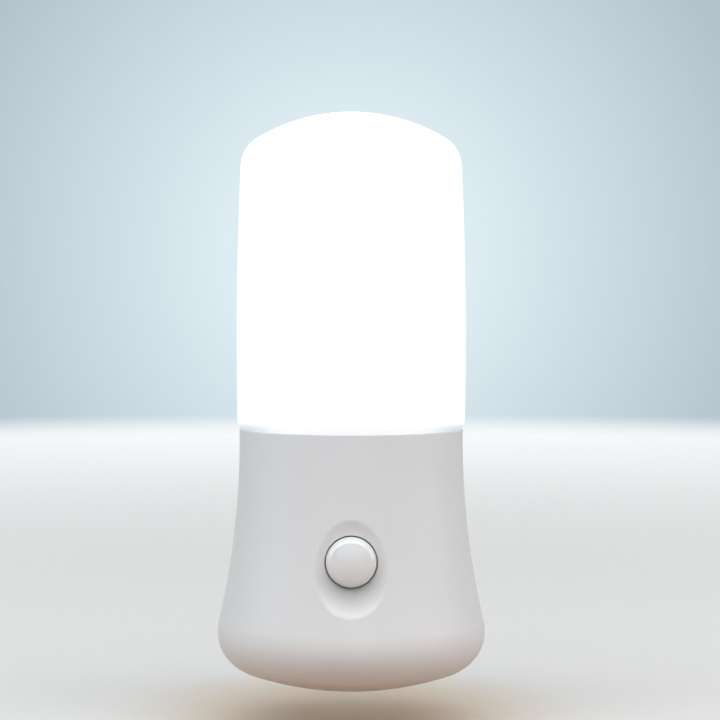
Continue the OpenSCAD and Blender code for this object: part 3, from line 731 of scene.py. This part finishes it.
def distance(tree, vector, point):
    """Distance of a vector from a point."""
    inputs = {0: vector, 1: point}
    return new_node(tree, "ShaderNodeVectorMath", inputs, operation="DISTANCE").outputs["Value"]


def rays(tree, *kinds):
    """1 for rays of the given kinds and 0 for the others."""
    path = tree.nodes.new("ShaderNodeLightPath").outputs
    found = 0
    for kind in kinds:
        found = math_node(tree, "MAXIMUM", path[f"Is {kind} Ray"], found)
    return found


def new_group(name, inputs):
    """Empty shader group with its inputs, given as (name, kind), and the outputs of a finish.
    Returns it with its inputs' sockets and the node that takes its outputs."""
    group = bpy.data.node_groups.new(name, "ShaderNodeTree")
    outputs = (("Color", "Color"), ("Roughness", "Float"), ("Height", "Float"))
    for way, sockets in (("INPUT", inputs), ("OUTPUT", outputs)):
        for label, kind in sockets:
            group.interface.new_socket(label, in_out=way, socket_type=f"NodeSocket{kind}")
    return group, group.nodes.new("NodeGroupInput").outputs, group.nodes.new("NodeGroupOutput")


def moulded_group():
    """Moulded plastic: a faint cloudiness of tone, uneven gloss and the fine grain of the mould."""
    group, given, out = new_group(
        "Moulded plastic",
        [
            ("Color", "Color"),
            ("Shade", "Color"),
            ("Cloud Scale", "Float"),
            ("Grain Scale", "Float"),
            ("Gloss", "Float"),
            ("Gloss Spread", "Float"),
        ],
    )
    cloud_from, cloud_gain, grain_gain = 0.3, 1.4, 0.25
    where = coordinates(group)
    cloud = noise(group, given["Cloud Scale"], 4, where)
    grain = noise(group, given["Grain Scale"], 3, where)
    tone = math_node(group, "SUBTRACT", cloud, cloud_from)
    tone = math_node(group, "MULTIPLY", tone, cloud_gain)
    tone = math_node(group, "ADD", tone, math_node(group, "MULTIPLY", grain, grain_gain))
    both = math_node(group, "MULTIPLY", math_node(group, "ADD", cloud, grain), 0.5)
    colour = mix_colour(group, tone, given["Color"], given["Shade"])
    rough = spread(group, both, given["Gloss Spread"], given["Gloss"])
    feed(group, out, {"Color": colour, "Roughness": rough, "Height": grain})
    return group


def drawn_metal_group():
    """Plated metal with the fine lines of drawing or rolling along one axis, and faint patches."""
    group, given, out = new_group(
        "Drawn metal",
        [
            ("Color", "Color"),
            ("Shade", "Color"),
            ("Line Stretch", "Vector"),
            ("Line Scale", "Float"),
            ("Gloss", "Float"),
            ("Gloss Spread", "Float"),
        ],
    )
    line_share, patch_share, patch_scale = 0.6, 0.4, 260
    where = coordinates(group)
    inputs = {0: where, 1: given["Line Stretch"]}
    drawn = new_node(group, "ShaderNodeVectorMath", inputs, operation="MULTIPLY").outputs[0]
    lines = noise(group, given["Line Scale"], 4, drawn)
    patch = noise(group, patch_scale, 3, where)
    both = math_node(group, "MULTIPLY", lines, line_share)
    both = math_node(group, "ADD", both, math_node(group, "MULTIPLY", patch, patch_share))
    colour = mix_colour(group, both, given["Color"], given["Shade"])
    rough = spread(group, both, given["Gloss Spread"], given["Gloss"])
    feed(group, out, {"Color": colour, "Roughness": rough, "Height": lines})
    return group


def shared_group(name):
    """The shared shader group of that name, built the first time that it is asked for."""
    makers = {"Moulded plastic": moulded_group, "Drawn metal": drawn_metal_group}
    return bpy.data.node_groups.get(name) or makers[name]()


# ---- Finishes ----


def new_material(name, group_name, values, bump, constants):
    """Material whose colour, roughness and bump come from a shared group with its own values. The
    constants go on the shader's own sockets."""
    made = bpy.data.materials.new(name)
    made.use_nodes = True
    tree = made.node_tree
    group = new_node(tree, "ShaderNodeGroup", {}, node_tree=shared_group(group_name))
    feed(tree, group, values)
    inputs = {"Distance": bump, "Height": group.outputs["Height"]}
    relief = new_node(tree, "ShaderNodeBump", inputs)
    links = {
        "Base Color": group.outputs["Color"],
        "Roughness": group.outputs["Roughness"],
        "Normal": relief.outputs["Normal"],
    }
    feed(tree, tree.nodes["Principled BSDF"], {**links, **constants})
    return made


def darker(colour, share):
    """A colour multiplied by a share."""
    return tuple(c * share for c in colour)


def plastic(
    name, colour, gloss, gloss_spread=0.1, cloud=90, grain=2600, bump=4, shade=0.94, constants=()
):
    """Moulded plastic of one colour. The bump is in thousandths of a millimetre."""
    values = {
        "Color": colour,
        "Shade": darker(colour, shade),
        "Cloud Scale": cloud,
        "Grain Scale": grain,
        "Gloss": gloss,
        "Gloss Spread": gloss_spread,
    }
    return new_material(name, "Moulded plastic", values, bump * 0.001 * MM, dict(constants))


def metal(name, colour, gloss, stretch=(1, 0.04, 1), line_scale=3000):
    """Plated metal of one colour."""
    values = {
        "Color": colour,
        "Shade": darker(colour, 0.8),
        "Line Stretch": stretch,
        "Line Scale": line_scale,
        "Gloss": gloss,
        "Gloss Spread": 0.16,
    }
    return new_material(name, "Drawn metal", values, 0.002 * MM, {"Metallic": 1})


def housing_finish(name):
    """Satin white plastic of the two base mouldings, with a painted shadow in the recess below the
    button.
    """
    finishes = settings().finishes
    made = plastic(name, tuple(finishes.housing), gloss=0.42, gloss_spread=0.12, shade=0.965)
    tree = made.node_tree
    shader = tree.nodes["Principled BSDF"]
    # Painted shadow: the housing's colour darkens towards a point below and behind the button's face
    darkest = button_axis() + Vector((0, finishes.painted_shadow_in, -finishes.painted_shadow_drop))
    away = distance(tree, coordinates(tree), darkest)
    near = ramp(tree, away, finishes.painted_shadow_reach, finishes.painted_shadow_core)
    share = math_node(tree, "MULTIPLY", near, finishes.painted_shadow_share)
    unshaded = shader.inputs["Base Color"].links[0].from_socket
    feed(tree, shader, {"Base Color": mix_colour(tree, share, unshaded, tuple(finishes.dust))})
    return made


def button_finish(name):
    """Gloss white plastic of the button."""
    look = {"gloss": 0.13, "gloss_spread": 0.05, "cloud": 160, "grain": 900, "bump": 1, "shade": 0.96}
    polish = {"Coat Weight": 1, "Coat Roughness": 0.03, "Specular IOR Level": 0.8}
    return plastic(name, tuple(settings().finishes.button), **look, constants=polish)


def diffuser_finish(name):
    """Opal plastic lit from inside: even over the face, with painted shade at its lower edge, where
    the glow is a little dimmer and cooler, and more so at the sides of that edge."""
    finishes, sizes = settings().finishes, settings().diffuser
    cloud_scale, cloud_share = 45, 0.3
    corner_start, corner_full = 9.5 * MM, 15.5 * MM
    lip_start, lip_full = seam() + 1.4 * MM, seam() + 0.3 * MM
    look = {"gloss": 0.36, "gloss_spread": 0.08, "cloud": 60, "shade": 0.97}
    made = plastic(name, tuple(finishes.diffuser), **look)
    tree = made.node_tree
    where = coordinates(tree)
    axes = new_node(tree, "ShaderNodeSeparateXYZ", {0: where}).outputs
    # Painted shade: the glow fades to a dimmer, cooler colour towards the seam and dims further at
    # the sides of the lower edge
    rise = ramp(tree, axes["Z"], seam(), seam() + sizes.lip_height, "LINEAR")
    cloud = noise(tree, cloud_scale, 2, where)
    lit = math_node(tree, "SUBTRACT", rise, math_node(tree, "MULTIPLY", cloud, cloud_share))
    colour = mix_colour(tree, lit, tuple(finishes.painted_shade_glow_low), tuple(finishes.glow))
    aside = math_node(tree, "ABSOLUTE", axes["X"])
    corner = ramp(tree, aside, corner_start, corner_full)
    lip = ramp(tree, axes["Z"], lip_start, lip_full)
    painted_corner_shade = math_node(tree, "MULTIPLY", corner, lip)
    colour = mix_colour(tree, painted_corner_shade, colour, tuple(finishes.painted_shade_glow_corner))
    light = {"Emission Color": colour, "Emission Strength": finishes.glow_strength}
    feed(tree, tree.nodes["Principled BSDF"], light)
    return made


def blade_finish(name):
    """Nickel-plated blades, drawn along their length."""
    return metal(name, tuple(settings().finishes.blade), gloss=0.24)


def steel_finish(name):
    """Zinc-plated screws and springs."""
    return metal(name, slot_colour("steel"), gloss=0.28, stretch=(1, 1, 1), line_scale=1400)


def bronze_finish(name):
    """Bronze contacts, rolled along their height."""
    return metal(name, slot_colour("copper"), gloss=0.3, stretch=(1, 1, 0.05))


def inner_finish(name):
    """Finish of a plastic or lacquered piece inside the body, named after its material slot."""
    lead = {"gloss": 0.34, "shade": 0.85}
    looks = {
        "inner_plastic": {"gloss": 0.5},
        "board": {"gloss": 0.55, "cloud": 420, "grain": 3800, "shade": 0.78, "bump": 10},
        "led_board": {"gloss": 0.32, "cloud": 200, "shade": 0.95},
        "led": {"gloss": 0.25, "cloud": 900, "shade": 0.88},
        "component_black": {"gloss": 0.5, "grain": 5200, "shade": 0.7, "bump": 8},
        "capacitor_red": {"gloss": 0.22, "cloud": 240, "shade": 0.8, "bump": 12},
        "capacitor_sleeve": {"gloss": 0.18, "shade": 0.8},
        "resistor_blue": {"gloss": 0.4, "cloud": 700, "shade": 0.85},
        "lead_brown": lead,
        "lead_blue": lead,
        "lead_black": lead,
        "lead_red": lead,
    }
    slot = name.removeprefix("finish_")
    return plastic(name, slot_colour(slot), **looks[slot])


MAKERS = {
    "satin_housing": housing_finish,
    "gloss_button": button_finish,
    "opal_diffuser": diffuser_finish,
    "nickel_blades": blade_finish,
    "zinc_steel": steel_finish,
    "bronze_contact": bronze_finish,
}


def finish(name):
    """The finish of that name, made the first time that it is asked for."""
    return bpy.data.materials.get(name) or MAKERS.get(name, inner_finish)(name)


# ---- Operators ----


def post_heights(plug):
    """Heights of the board's lower and upper posts."""
    return low("driver_board").z + plug.post_inset, high("driver_board").z - plug.post_inset


def front_of_flare(body, z):
    """Where the middle of the front lies at a height of the flare."""
    flare = flare_arc(body)[1]
    drop = max(bottom() + body.flare_height - z, 0)
    half_width = body.neck_width / 2 + flare - math.sqrt(flare**2 - drop**2)
    return -body.front_axis - half_width


def sink_dish(mesh, body, button):
    """Moves the front moulding's skin back to the dished recess, with a rim that is softer below
    the button."""
    axis = button_axis()
    floor = front_of_flare(body, axis.z) + button.dish_depth
    for vertex in mesh.verts:
        across = vertex.co.x - axis.x
        up = vertex.co.z - axis.z - button.dish_rise
        inside = 1 - (across**2 + up**2) / button.dish_radius**2
        if inside <= 0 or vertex.co.y > floor:
            continue
        bowl = floor - button.dish_round * (1 - math.sqrt(inside))
        upper = 0.5 + 0.5 * max(-1, min(1, up / (button.dish_radius / 2)))
        soft = button.lower_rim + (button.upper_rim - button.lower_rim) * upper
        vertex.co.y = -soft_min(-vertex.co.y, -bowl, soft)


def cavity(body, inset, columns, standing):
    """Closed mesh of the room inside a moulding, less what is left standing in it."""
    room = to_object("room", band(base_outline(body, inset, low("led_bracket").z, 40), columns))
    for solid in standing:
        cut(room, solid)
    return to_mesh([room])


class NIGHTLIGHT_OT_base_shell(Operator):
    """Add the flared front moulding with its dished recess, screw bosses and board posts"""

    bl_idname = "night_light.base_shell"
    bl_label = "Base Shell"

    def execute(self, context):
        body, button, diffuser = settings().body, settings().button, settings().diffuser
        parting = -body.cover_depth
        left, right = (
            side_columns(body, side, parting - body.edge_radius) + parting_columns(body, side)
            for side in (-1, 1)
        )
        columns = left[::-1] + front_columns(body, button.dish_angle) + right
        mesh = swept_mesh(base_shell_outline(body, 200), columns, False)
        sink_dish(mesh, body, button)
        piece = to_object("base_shell", mesh)
        around = open_columns(body, parting + CLEAR)
        cut(piece, cavity(body, body.wall, around, self.standing(body, button)))
        neck = body.neck_width / 2 - body.collar_wall
        cut(piece, band([(neck, low("led_bracket").z), (neck, seam() + CLEAR)], around))
        cut(piece, band(bead_outline(diffuser, diffuser.spigot_gap), around))
        self.drill_holes(piece, body, button)
        dress(piece, "housing", finish("satin_housing"), "front_housing")
        return {"FINISHED"}

    def standing(self, body, button):
        """The pad behind the recess, and the screw bosses and the board's posts with their ribs."""
        plug = settings().plug
        start = low("front_housing").y - CLEAR
        axis = button_axis()
        pad_end = high("button_cap").y - button.flange
        solids = [post(axis.x, axis.z, button.diameter / 2 + button.pad, start, pad_end)]
        board_y = low("driver_board").y
        rim_end = -body.cover_depth - body.rim
        for side in (-1, 1):
            x = side * plug.screw_spacing / 2
            solids.append(post(x, 0, plug.boss_radius, start, -body.cover_depth))
            solids.append(self.rib(x, 0, start, rim_end - plug.rib_drop))
            x = side * plug.post_spacing / 2
            for z in post_heights(plug):
                solids.append(post(x, z, plug.post_radius, start, board_y))
                solids.append(self.rib(x, z, start, board_y - plug.rib_drop))
        return solids

    def rib(self, x, z, start, end):
        """Closed bar from a post out to the side wall."""
        half_height = settings().plug.rib / 2
        reach = math.copysign(settings().body.base_width / 2, x)
        half_width = abs(reach - x) / 2
        sections = [(start, half_width, half_height), (end, half_width, half_height)]
        return bar_mesh(sections, Vector(((x + reach) / 2, 0, z)))

    def drill_holes(self, piece, body, button):
        """The button's bore with a rounded mouth, and the screws' pilot holes."""
        plug = settings().plug
        axis = button_axis()
        bore = button.diameter / 2 + button.clearance
        sunk = button.dish_round * (1 - math.sqrt(1 - (bore / button.dish_radius) ** 2))
        edge = button.bore_edge
        mouth = front_of_flare(body, axis.z) + button.dish_depth - sunk - edge / 4
        steps = [(bore + edge, mouth - THROUGH)]
        steps += [
            (bore + edge * (1 - math.sin(a)), mouth + edge * (1 - math.cos(a)))
            for a in quarter_turn(6)
        ]
        drill(piece, axis.x, axis.z, [*steps, (bore, mouth + THROUGH)])
        hole = plug.screw_diameter / 2 + plug.slot_gap
        depth = low("cover_screws").y - plug.pilot_spare
        for side in (-1, 1):
            drill(piece, side * plug.screw_spacing / 2, 0, [(hole, depth), (hole, 0)])


class NIGHTLIGHT_OT_rear_cover(Operator):
    """Add the flat-backed rear cover with its screw sinks and blade slots"""

    bl_idname = "night_light.rear_cover"
    bl_label = "Rear Cover"

    def execute(self, context):
        body, plug = settings().body, settings().plug
        columns = back_columns(body, 0, body.edge_radius)
        piece = to_object("cover_shell", swept_mesh(base_shell_outline(body, 60), columns, False))
        behind = -body.cover_depth - CLEAR
        screw_xs = [side * plug.screw_spacing / 2 for side in (-1, 1)]
        bosses = [post(x, 0, plug.boss_radius, behind, 0) for x in screw_xs]
        cut(piece, cavity(body, body.cover_wall, back_columns(body, -body.plate, 0), bosses))
        head = high("cover_screws").x - plug.screw_spacing / 2 + 2 * plug.slot_gap
        sink = high("cover_screws").y - plug.screw_head
        shank = plug.screw_diameter / 2 + 2 * plug.slot_gap
        edge = plug.sink_edge
        steps = [(shank, -THROUGH), (shank, sink), (head, sink), (head, -edge)]
        steps += [(head + edge, 0), (head + edge, CLEAR)]
        across = (high("blade_right").x - low("blade_right").x) / 2 + plug.slot_gap
        up = plug.blade_width / 2 + plug.slot_gap
        slot = [(-THROUGH, across, up), (CLEAR, across, up)]
        for x, blade in zip(screw_xs, ("blade_left", "blade_right")):
            drill(piece, x, 0, steps)
            cut(piece, bar_mesh(slot, Vector((middle(blade).x, 0, 0))))
        dress(piece, "housing", finish("satin_housing"), "rear_cover")
        return {"FINISHED"}


class NIGHTLIGHT_OT_diffuser(Operator):
    """Add the domed opal diffuser with its spigot"""

    bl_idname = "night_light.diffuser"
    bl_label = "Diffuser"

    def execute(self, context):
        body, sizes = settings().body, settings().diffuser
        spigot, low_z = sizes.spigot_width / 2, low("diffuser").z
        lip_x, lip_z = body.neck_width / 2 - sizes.lip_in, seam() + sizes.lip_height

        def outer(inset):
            side = dome_outline(sizes, inset, lip_z)
            wide = side[0][0] - lip_x
            lip = [
                (lip_x + wide * math.sin(a), seam() + sizes.lip_height * (1 - math.cos(a)))
                for a in quarter_turn(8)[:-1]
            ]
            return [(spigot, low_z), (spigot, seam()), *lip, *side]

        def inner(inset):
            hollow = spigot - sizes.spigot_wall
            dome = dome_outline(sizes, sizes.wall, lip_z + sizes.lip_height)
            return [(hollow, low_z - CLEAR), (hollow, lip_z), *dome]

        flat = high("diffuser").y
        open_part = open_columns(body, -body.cover_depth)
        around = open_part + back_columns(body, flat, 0)[1:-1]
        piece = to_object("diffuser_shell", swept_mesh(outer, around, True))
        beaded = open_columns(body, -body.cover_depth - CLEAR)
        combine(piece, "UNION", band(bead_outline(sizes, 0), beaded))
        around = open_part + back_columns(body, flat - sizes.wall, 0)[1:-1]
        cut(piece, swept_mesh(inner, around, True))
        dress(piece, "housing", finish("opal_diffuser"), "diffuser")
        return {"FINISHED"}


class NIGHTLIGHT_OT_button(Operator):
    """Add the domed push button with its flange and the socket for the switch's plunger"""

    bl_idname = "night_light.button"
    bl_label = "Button"

    def execute(self, context):
        sizes = settings().button
        radius, edge, dome = sizes.diameter / 2, sizes.edge_radius, sizes.dome_radius
        inner = radius - edge
        face_end = math.asin(inner / (dome - edge)) - QUARTER
        edge_y = dome - math.sqrt((dome - edge) ** 2 - inner**2)
        lowest, highest = low("button_cap"), high("button_cap")
        depth, flange, soft = highest.y - lowest.y, highest.x, sizes.flange_edge
        outline = [(0, 0)]
        outline += arc((0, dome), dome, -QUARTER, face_end, 20)
        outline += arc((inner, edge_y), edge, face_end, 0, 14)
        outline += [
            (radius, depth - sizes.flange),
            (flange - soft, depth - sizes.flange),
            (flange, depth - sizes.flange + soft),
            (flange, depth - soft),
            (flange - soft, depth),
            (0, depth),
        ]
        piece = to_object("push_button", lathe(outline, button_axis()))
        half = sizes.socket / 2
        socket = [(depth - sizes.socket_depth, half, half), (depth + CLEAR, half, half)]
        cut(piece, bar_mesh(socket, button_axis()))
        dress(piece, "button", finish("gloss_button"), "button_cap")
        return {"FINISHED"}


class NIGHTLIGHT_OT_blades(Operator):
    """Add the two flat plug blades with their shoulders and solder tails"""

    bl_idname = "night_light.blades"
    bl_label = "Blades"

    def execute(self, context):
        plug, body = settings().plug, settings().body
        for node in ("blade_left", "blade_right"):
            lowest, highest = low(node), high(node)
            thick, shoulder = (highest.x - lowest.x) / 2, (highest.z - lowest.z) / 2
            width, tail = plug.blade_width / 2, plug.blade_tail / 2
            inner, tip_share = -body.plate - plug.blade_shoulder, 0.4
            sections = [
                (lowest.y, thick, tail),
                (inner, thick, tail),
                (inner, thick, shoulder),
                (-body.plate, thick, shoulder),
                (-body.plate, thick, width),
                (highest.y - plug.blade_tip, thick, width),
                (highest.y, thick * tip_share, width - plug.blade_tip),
            ]
            piece = to_object(f"{node}_metal", bar_mesh(sections, Vector((middle(node).x, 0, 0))))
            bevel(piece, plug.blade_edge, math.radians(20))
            dress(piece, "housing", finish("nickel_blades"), node)
        return {"FINISHED"}


def screw(place, thread, head, head_depth, length):
    """Pan head screw along -Y with a cross recess and a helical thread. Its head's face is at a
    place, thread and head are radii, and the length is under the head."""
    plug = settings().plug
    rows_a_turn, tip_share, thread_form = 9, 0.4, 0.8
    crown, recess_depth, over = 0.55 * head_depth, 0.8 * head_depth, 0.1 * MM
    plain_end = -head_depth - 0.2 * MM
    threaded = length - plug.screw_tip
    rows = int(threaded / plug.thread_pitch * rows_a_turn)
    outline = [(0, 0), (head - crown, 0)]
    outline += [
        (head - crown + crown * math.sin(a), -crown * (1 - math.cos(a)))
        for a in quarter_turn(8)[1:]
    ]
    outline += [(head, -head_depth), (thread, -head_depth)]
    outline += [(thread, -head_depth - threaded * i / rows) for i in range(1, rows + 1)]
    outline += [(thread * tip_share, -head_depth - length), (0, -head_depth - length)]

    def groove(radius, y, angle):
        if radius != thread or y > plain_end:
            return radius
        turn = (y / plug.thread_pitch + angle / TAU) % 1
        return radius - plug.thread_depth * (1 - abs(2 * turn - 1)) ** thread_form

    piece = to_object("screw", lathe(outline, place, 36, groove))
    long, short = 0.62 * head, 0.13 * head
    for across, up in ((long, short), (short, long)):
        recess = [(-recess_depth, across / 2, up / 2), (over, across, up)]
        cut(piece, bar_mesh(recess, place))
    return piece


class NIGHTLIGHT_OT_screws(Operator):
    """Add the cover screws and the driver board's screws, with cross recesses and threads"""

    bl_idname = "night_light.screws"
    bl_label = "Screws"

    def execute(self, context):
        plug = settings().plug
        x = plug.screw_spacing / 2
        self.add("cover_screws", [(-x, 0), (x, 0)], plug.screw_diameter, plug.screw_head)
        x = plug.post_spacing / 2
        lower, upper = post_heights(plug)
        places = [(x, lower), (-x, upper)]
        self.add("board_screws", places, plug.board_screw, plug.board_screw_head)
        return {"FINISHED"}

    def add(self, node, places, diameter, head_depth):
        """One piece with a screw at each (x, z) place."""
        face = high(node).y
        head = high(node).x - abs(places[0][0])
        length = face - head_depth - low(node).y
        made = [
            screw(Vector((x, face, z)), diameter / 2, head, head_depth, length) for x, z in places
        ]
        piece = to_object(f"{node}_threaded", to_mesh(made))
        dress(piece, "housing", finish("zinc_steel"), node)


class NIGHTLIGHT_OT_spring(Operator):
    """Add the coiled return spring of the push switch"""

    bl_idname = "night_light.spring"
    bl_label = "Spring"

    def execute(self, context):
        node = "switch_spring"
        wire = settings().plug.spring_wire / 2
        lowest, highest, centre = low(node), high(node), middle(node)
        radius = (highest.x - lowest.x) / 2 - wire
        turns, steps = 7, 24
        rise = highest.y - lowest.y - 2 * wire
        path = []
        for i in range(turns * steps + 1):
            a = TAU * i / steps
            y = lowest.y + wire + rise * i / (turns * steps)
            x, z = centre.x + radius * math.cos(a), centre.z + radius * math.sin(a)
            path.append(Vector((x, y, z)))
        piece = to_object("return_spring", tube(path, wire, 10))
        dress(piece, "housing", finish("zinc_steel"), node)
        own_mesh(piece)
        return {"FINISHED"}


class NIGHTLIGHT_OT_inner_finishes(Operator):
    """Give the pieces inside the body, which keep their solids, their own finishes"""

    bl_idname = "night_light.inner_finishes"
    bl_label = "Inner Finishes"

    def execute(self, context):
        metals = {"steel": "zinc_steel", "copper": "bronze_contact"}
        for part in frame["record"]["subparts"]:
            solid = frame["nodes"][part["node"]]
            if solid.hide_render:
                continue
            slot = part["material_slot"]
            made = finish(metals.get(slot, f"finish_{slot}"))
            if not solid.material_slots:
                solid.data.materials.append(made)
            for holder in solid.material_slots:
                holder.material = made
        return {"FINISHED"}


class NIGHTLIGHT_OT_stage(Operator):
    """Add the floor, the backdrop, the lamps and the camera"""

    bl_idname = "night_light.stage"
    bl_label = "Stage"

    def execute(self, context):
        stage = settings().stage
        self.add_floor(stage)
        self.add_world(context.scene, stage)
        for name, lamp in LAMPS.items():
            self.add_lamp(context.scene, name, *lamp)
        self.add_camera(context.scene, stage)
        context.scene.view_settings.view_transform = "Standard"
        return {"FINISHED"}

    def add_floor(self, stage):
        mesh = bmesh.new()
        bmesh.ops.create_circle(mesh, cap_ends=True, segments=96, radius=stage.floor_reach)
        bmesh.ops.translate(mesh, verts=mesh.verts, vec=(0, 0, bottom() - stage.floor_drop))
        floor = to_object("floor", mesh)
        made = bpy.data.materials.new("stage_floor")
        made.use_nodes = True
        tree = made.node_tree
        seen = rays(tree, "Camera", "Glossy")
        away = distance(tree, coordinates(tree), (0, 0, 0))
        patch = ramp(tree, away, stage.patch_radius, stage.patch_reach)
        bounce = mix_colour(tree, patch, tuple(stage.floor_warm), tuple(stage.floor_bounce))
        under = ramp(tree, away, stage.floor_shadow_radius, stage.patch_radius)
        shown = mix_colour(tree, under, tuple(stage.floor_painted_shadow), tuple(stage.floor_seen))
        far = math_node(tree, "MULTIPLY", ramp(tree, away, 0, stage.far_reach), seen)
        inputs = {
            "Base Color": mix_colour(tree, seen, bounce, shown),
            "Emission Color": mix_colour(tree, far, (0, 0, 0), tuple(stage.floor_far)),
            "Emission Strength": 1,
            "Alpha": ramp(tree, away, stage.floor_reach, stage.floor_fade),
            "Roughness": 0.9,
            "Specular IOR Level": 0,
        }
        feed(tree, tree.nodes["Principled BSDF"], inputs)
        floor.data.materials.append(made)

    def add_world(self, scene, stage):
        world = bpy.data.worlds.new("studio")
        scene.world = world
        world.use_nodes = True
        tree = world.node_tree
        light = tree.nodes["Background"]
        feed(tree, light, {"Color": tuple(stage.world_light), "Strength": stage.world_strength})
        # Painted halo of the light's glow: the background that the camera sees is lighter round the
        # light
        apart = distance(tree, coordinates(tree, "Generated"), PAINTED_HALO_MIDDLE)
        fall = ramp(tree, apart, stage.painted_halo_core, stage.painted_halo_reach, "LINEAR")
        colour = mix_colour(tree, fall, tuple(stage.backdrop), tuple(stage.backdrop_far))
        seen = new_node(tree, "ShaderNodeBackground", {"Color": colour})
        clear = rays(tree, "Camera", "Glossy", "Transmission")
        inputs = {0: clear, 1: light.outputs[0], 2: seen.outputs[0]}
        mix = new_node(tree, "ShaderNodeMixShader", inputs)
        feed(tree, tree.nodes["World Output"], {"Surface": mix.outputs[0]})

    def add_lamp(self, scene, name, place, size, power, colour):
        data = bpy.data.lights.new(name, "AREA")
        data.shape = "RECTANGLE"
        data.size, data.size_y = size
        data.energy = power
        data.color = colour
        lamp = bpy.data.objects.new(name, data)
        lamp.location = place
        lamp.rotation_euler = (LAMP_AIM - Vector(place)).to_track_quat("-Z", "Y").to_euler()
        scene.collection.objects.link(lamp)

    def add_camera(self, scene, stage):
        data = bpy.data.cameras.new("camera")
        data.lens = stage.camera_lens
        data.shift_x = stage.camera_shift
        data.clip_start = 10 * MM
        camera = bpy.data.objects.new("camera", data)
        camera.location = (0, -stage.camera_distance, stage.camera_height)
        camera.rotation_euler = (QUARTER - stage.camera_pitch, 0, 0)
        scene.collection.objects.link(camera)
        scene.camera = camera


PIECES = (
    NIGHTLIGHT_OT_base_shell,
    NIGHTLIGHT_OT_rear_cover,
    NIGHTLIGHT_OT_diffuser,
    NIGHTLIGHT_OT_button,
    NIGHTLIGHT_OT_blades,
    NIGHTLIGHT_OT_screws,
    NIGHTLIGHT_OT_spring,
    NIGHTLIGHT_OT_inner_finishes,
    NIGHTLIGHT_OT_stage,
)


class NIGHTLIGHT_PT_panel(Panel):
    """Buttons that build the night light's pieces and its stage"""

    bl_idname = "NIGHTLIGHT_PT_panel"
    bl_label = "Night Light"
    bl_space_type = "VIEW_3D"
    bl_region_type = "UI"
    bl_category = "Night Light"

    def draw(self, context):
        for operator in PIECES:
            self.layout.operator(operator.bl_idname)


CLASSES = (
    BodySizes,
    DiffuserSizes,
    ButtonSizes,
    PlugSizes,
    Finishes,
    StageSettings,
    NightLight,
    *PIECES,
    NIGHTLIGHT_PT_panel,
)


def register():
    for cls in CLASSES:
        bpy.utils.register_class(cls)
    bpy.types.Scene.night_light = PointerProperty(type=NightLight)


def unregister():
    del bpy.types.Scene.night_light
    for cls in reversed(CLASSES):
        bpy.utils.unregister_class(cls)


def main():
    """Builds every piece in order."""
    register()
    for operator in PIECES:
        group, name = operator.bl_idname.split(".")
        getattr(getattr(bpy.ops, group), name)()


if __name__ == "__main__":
    main()
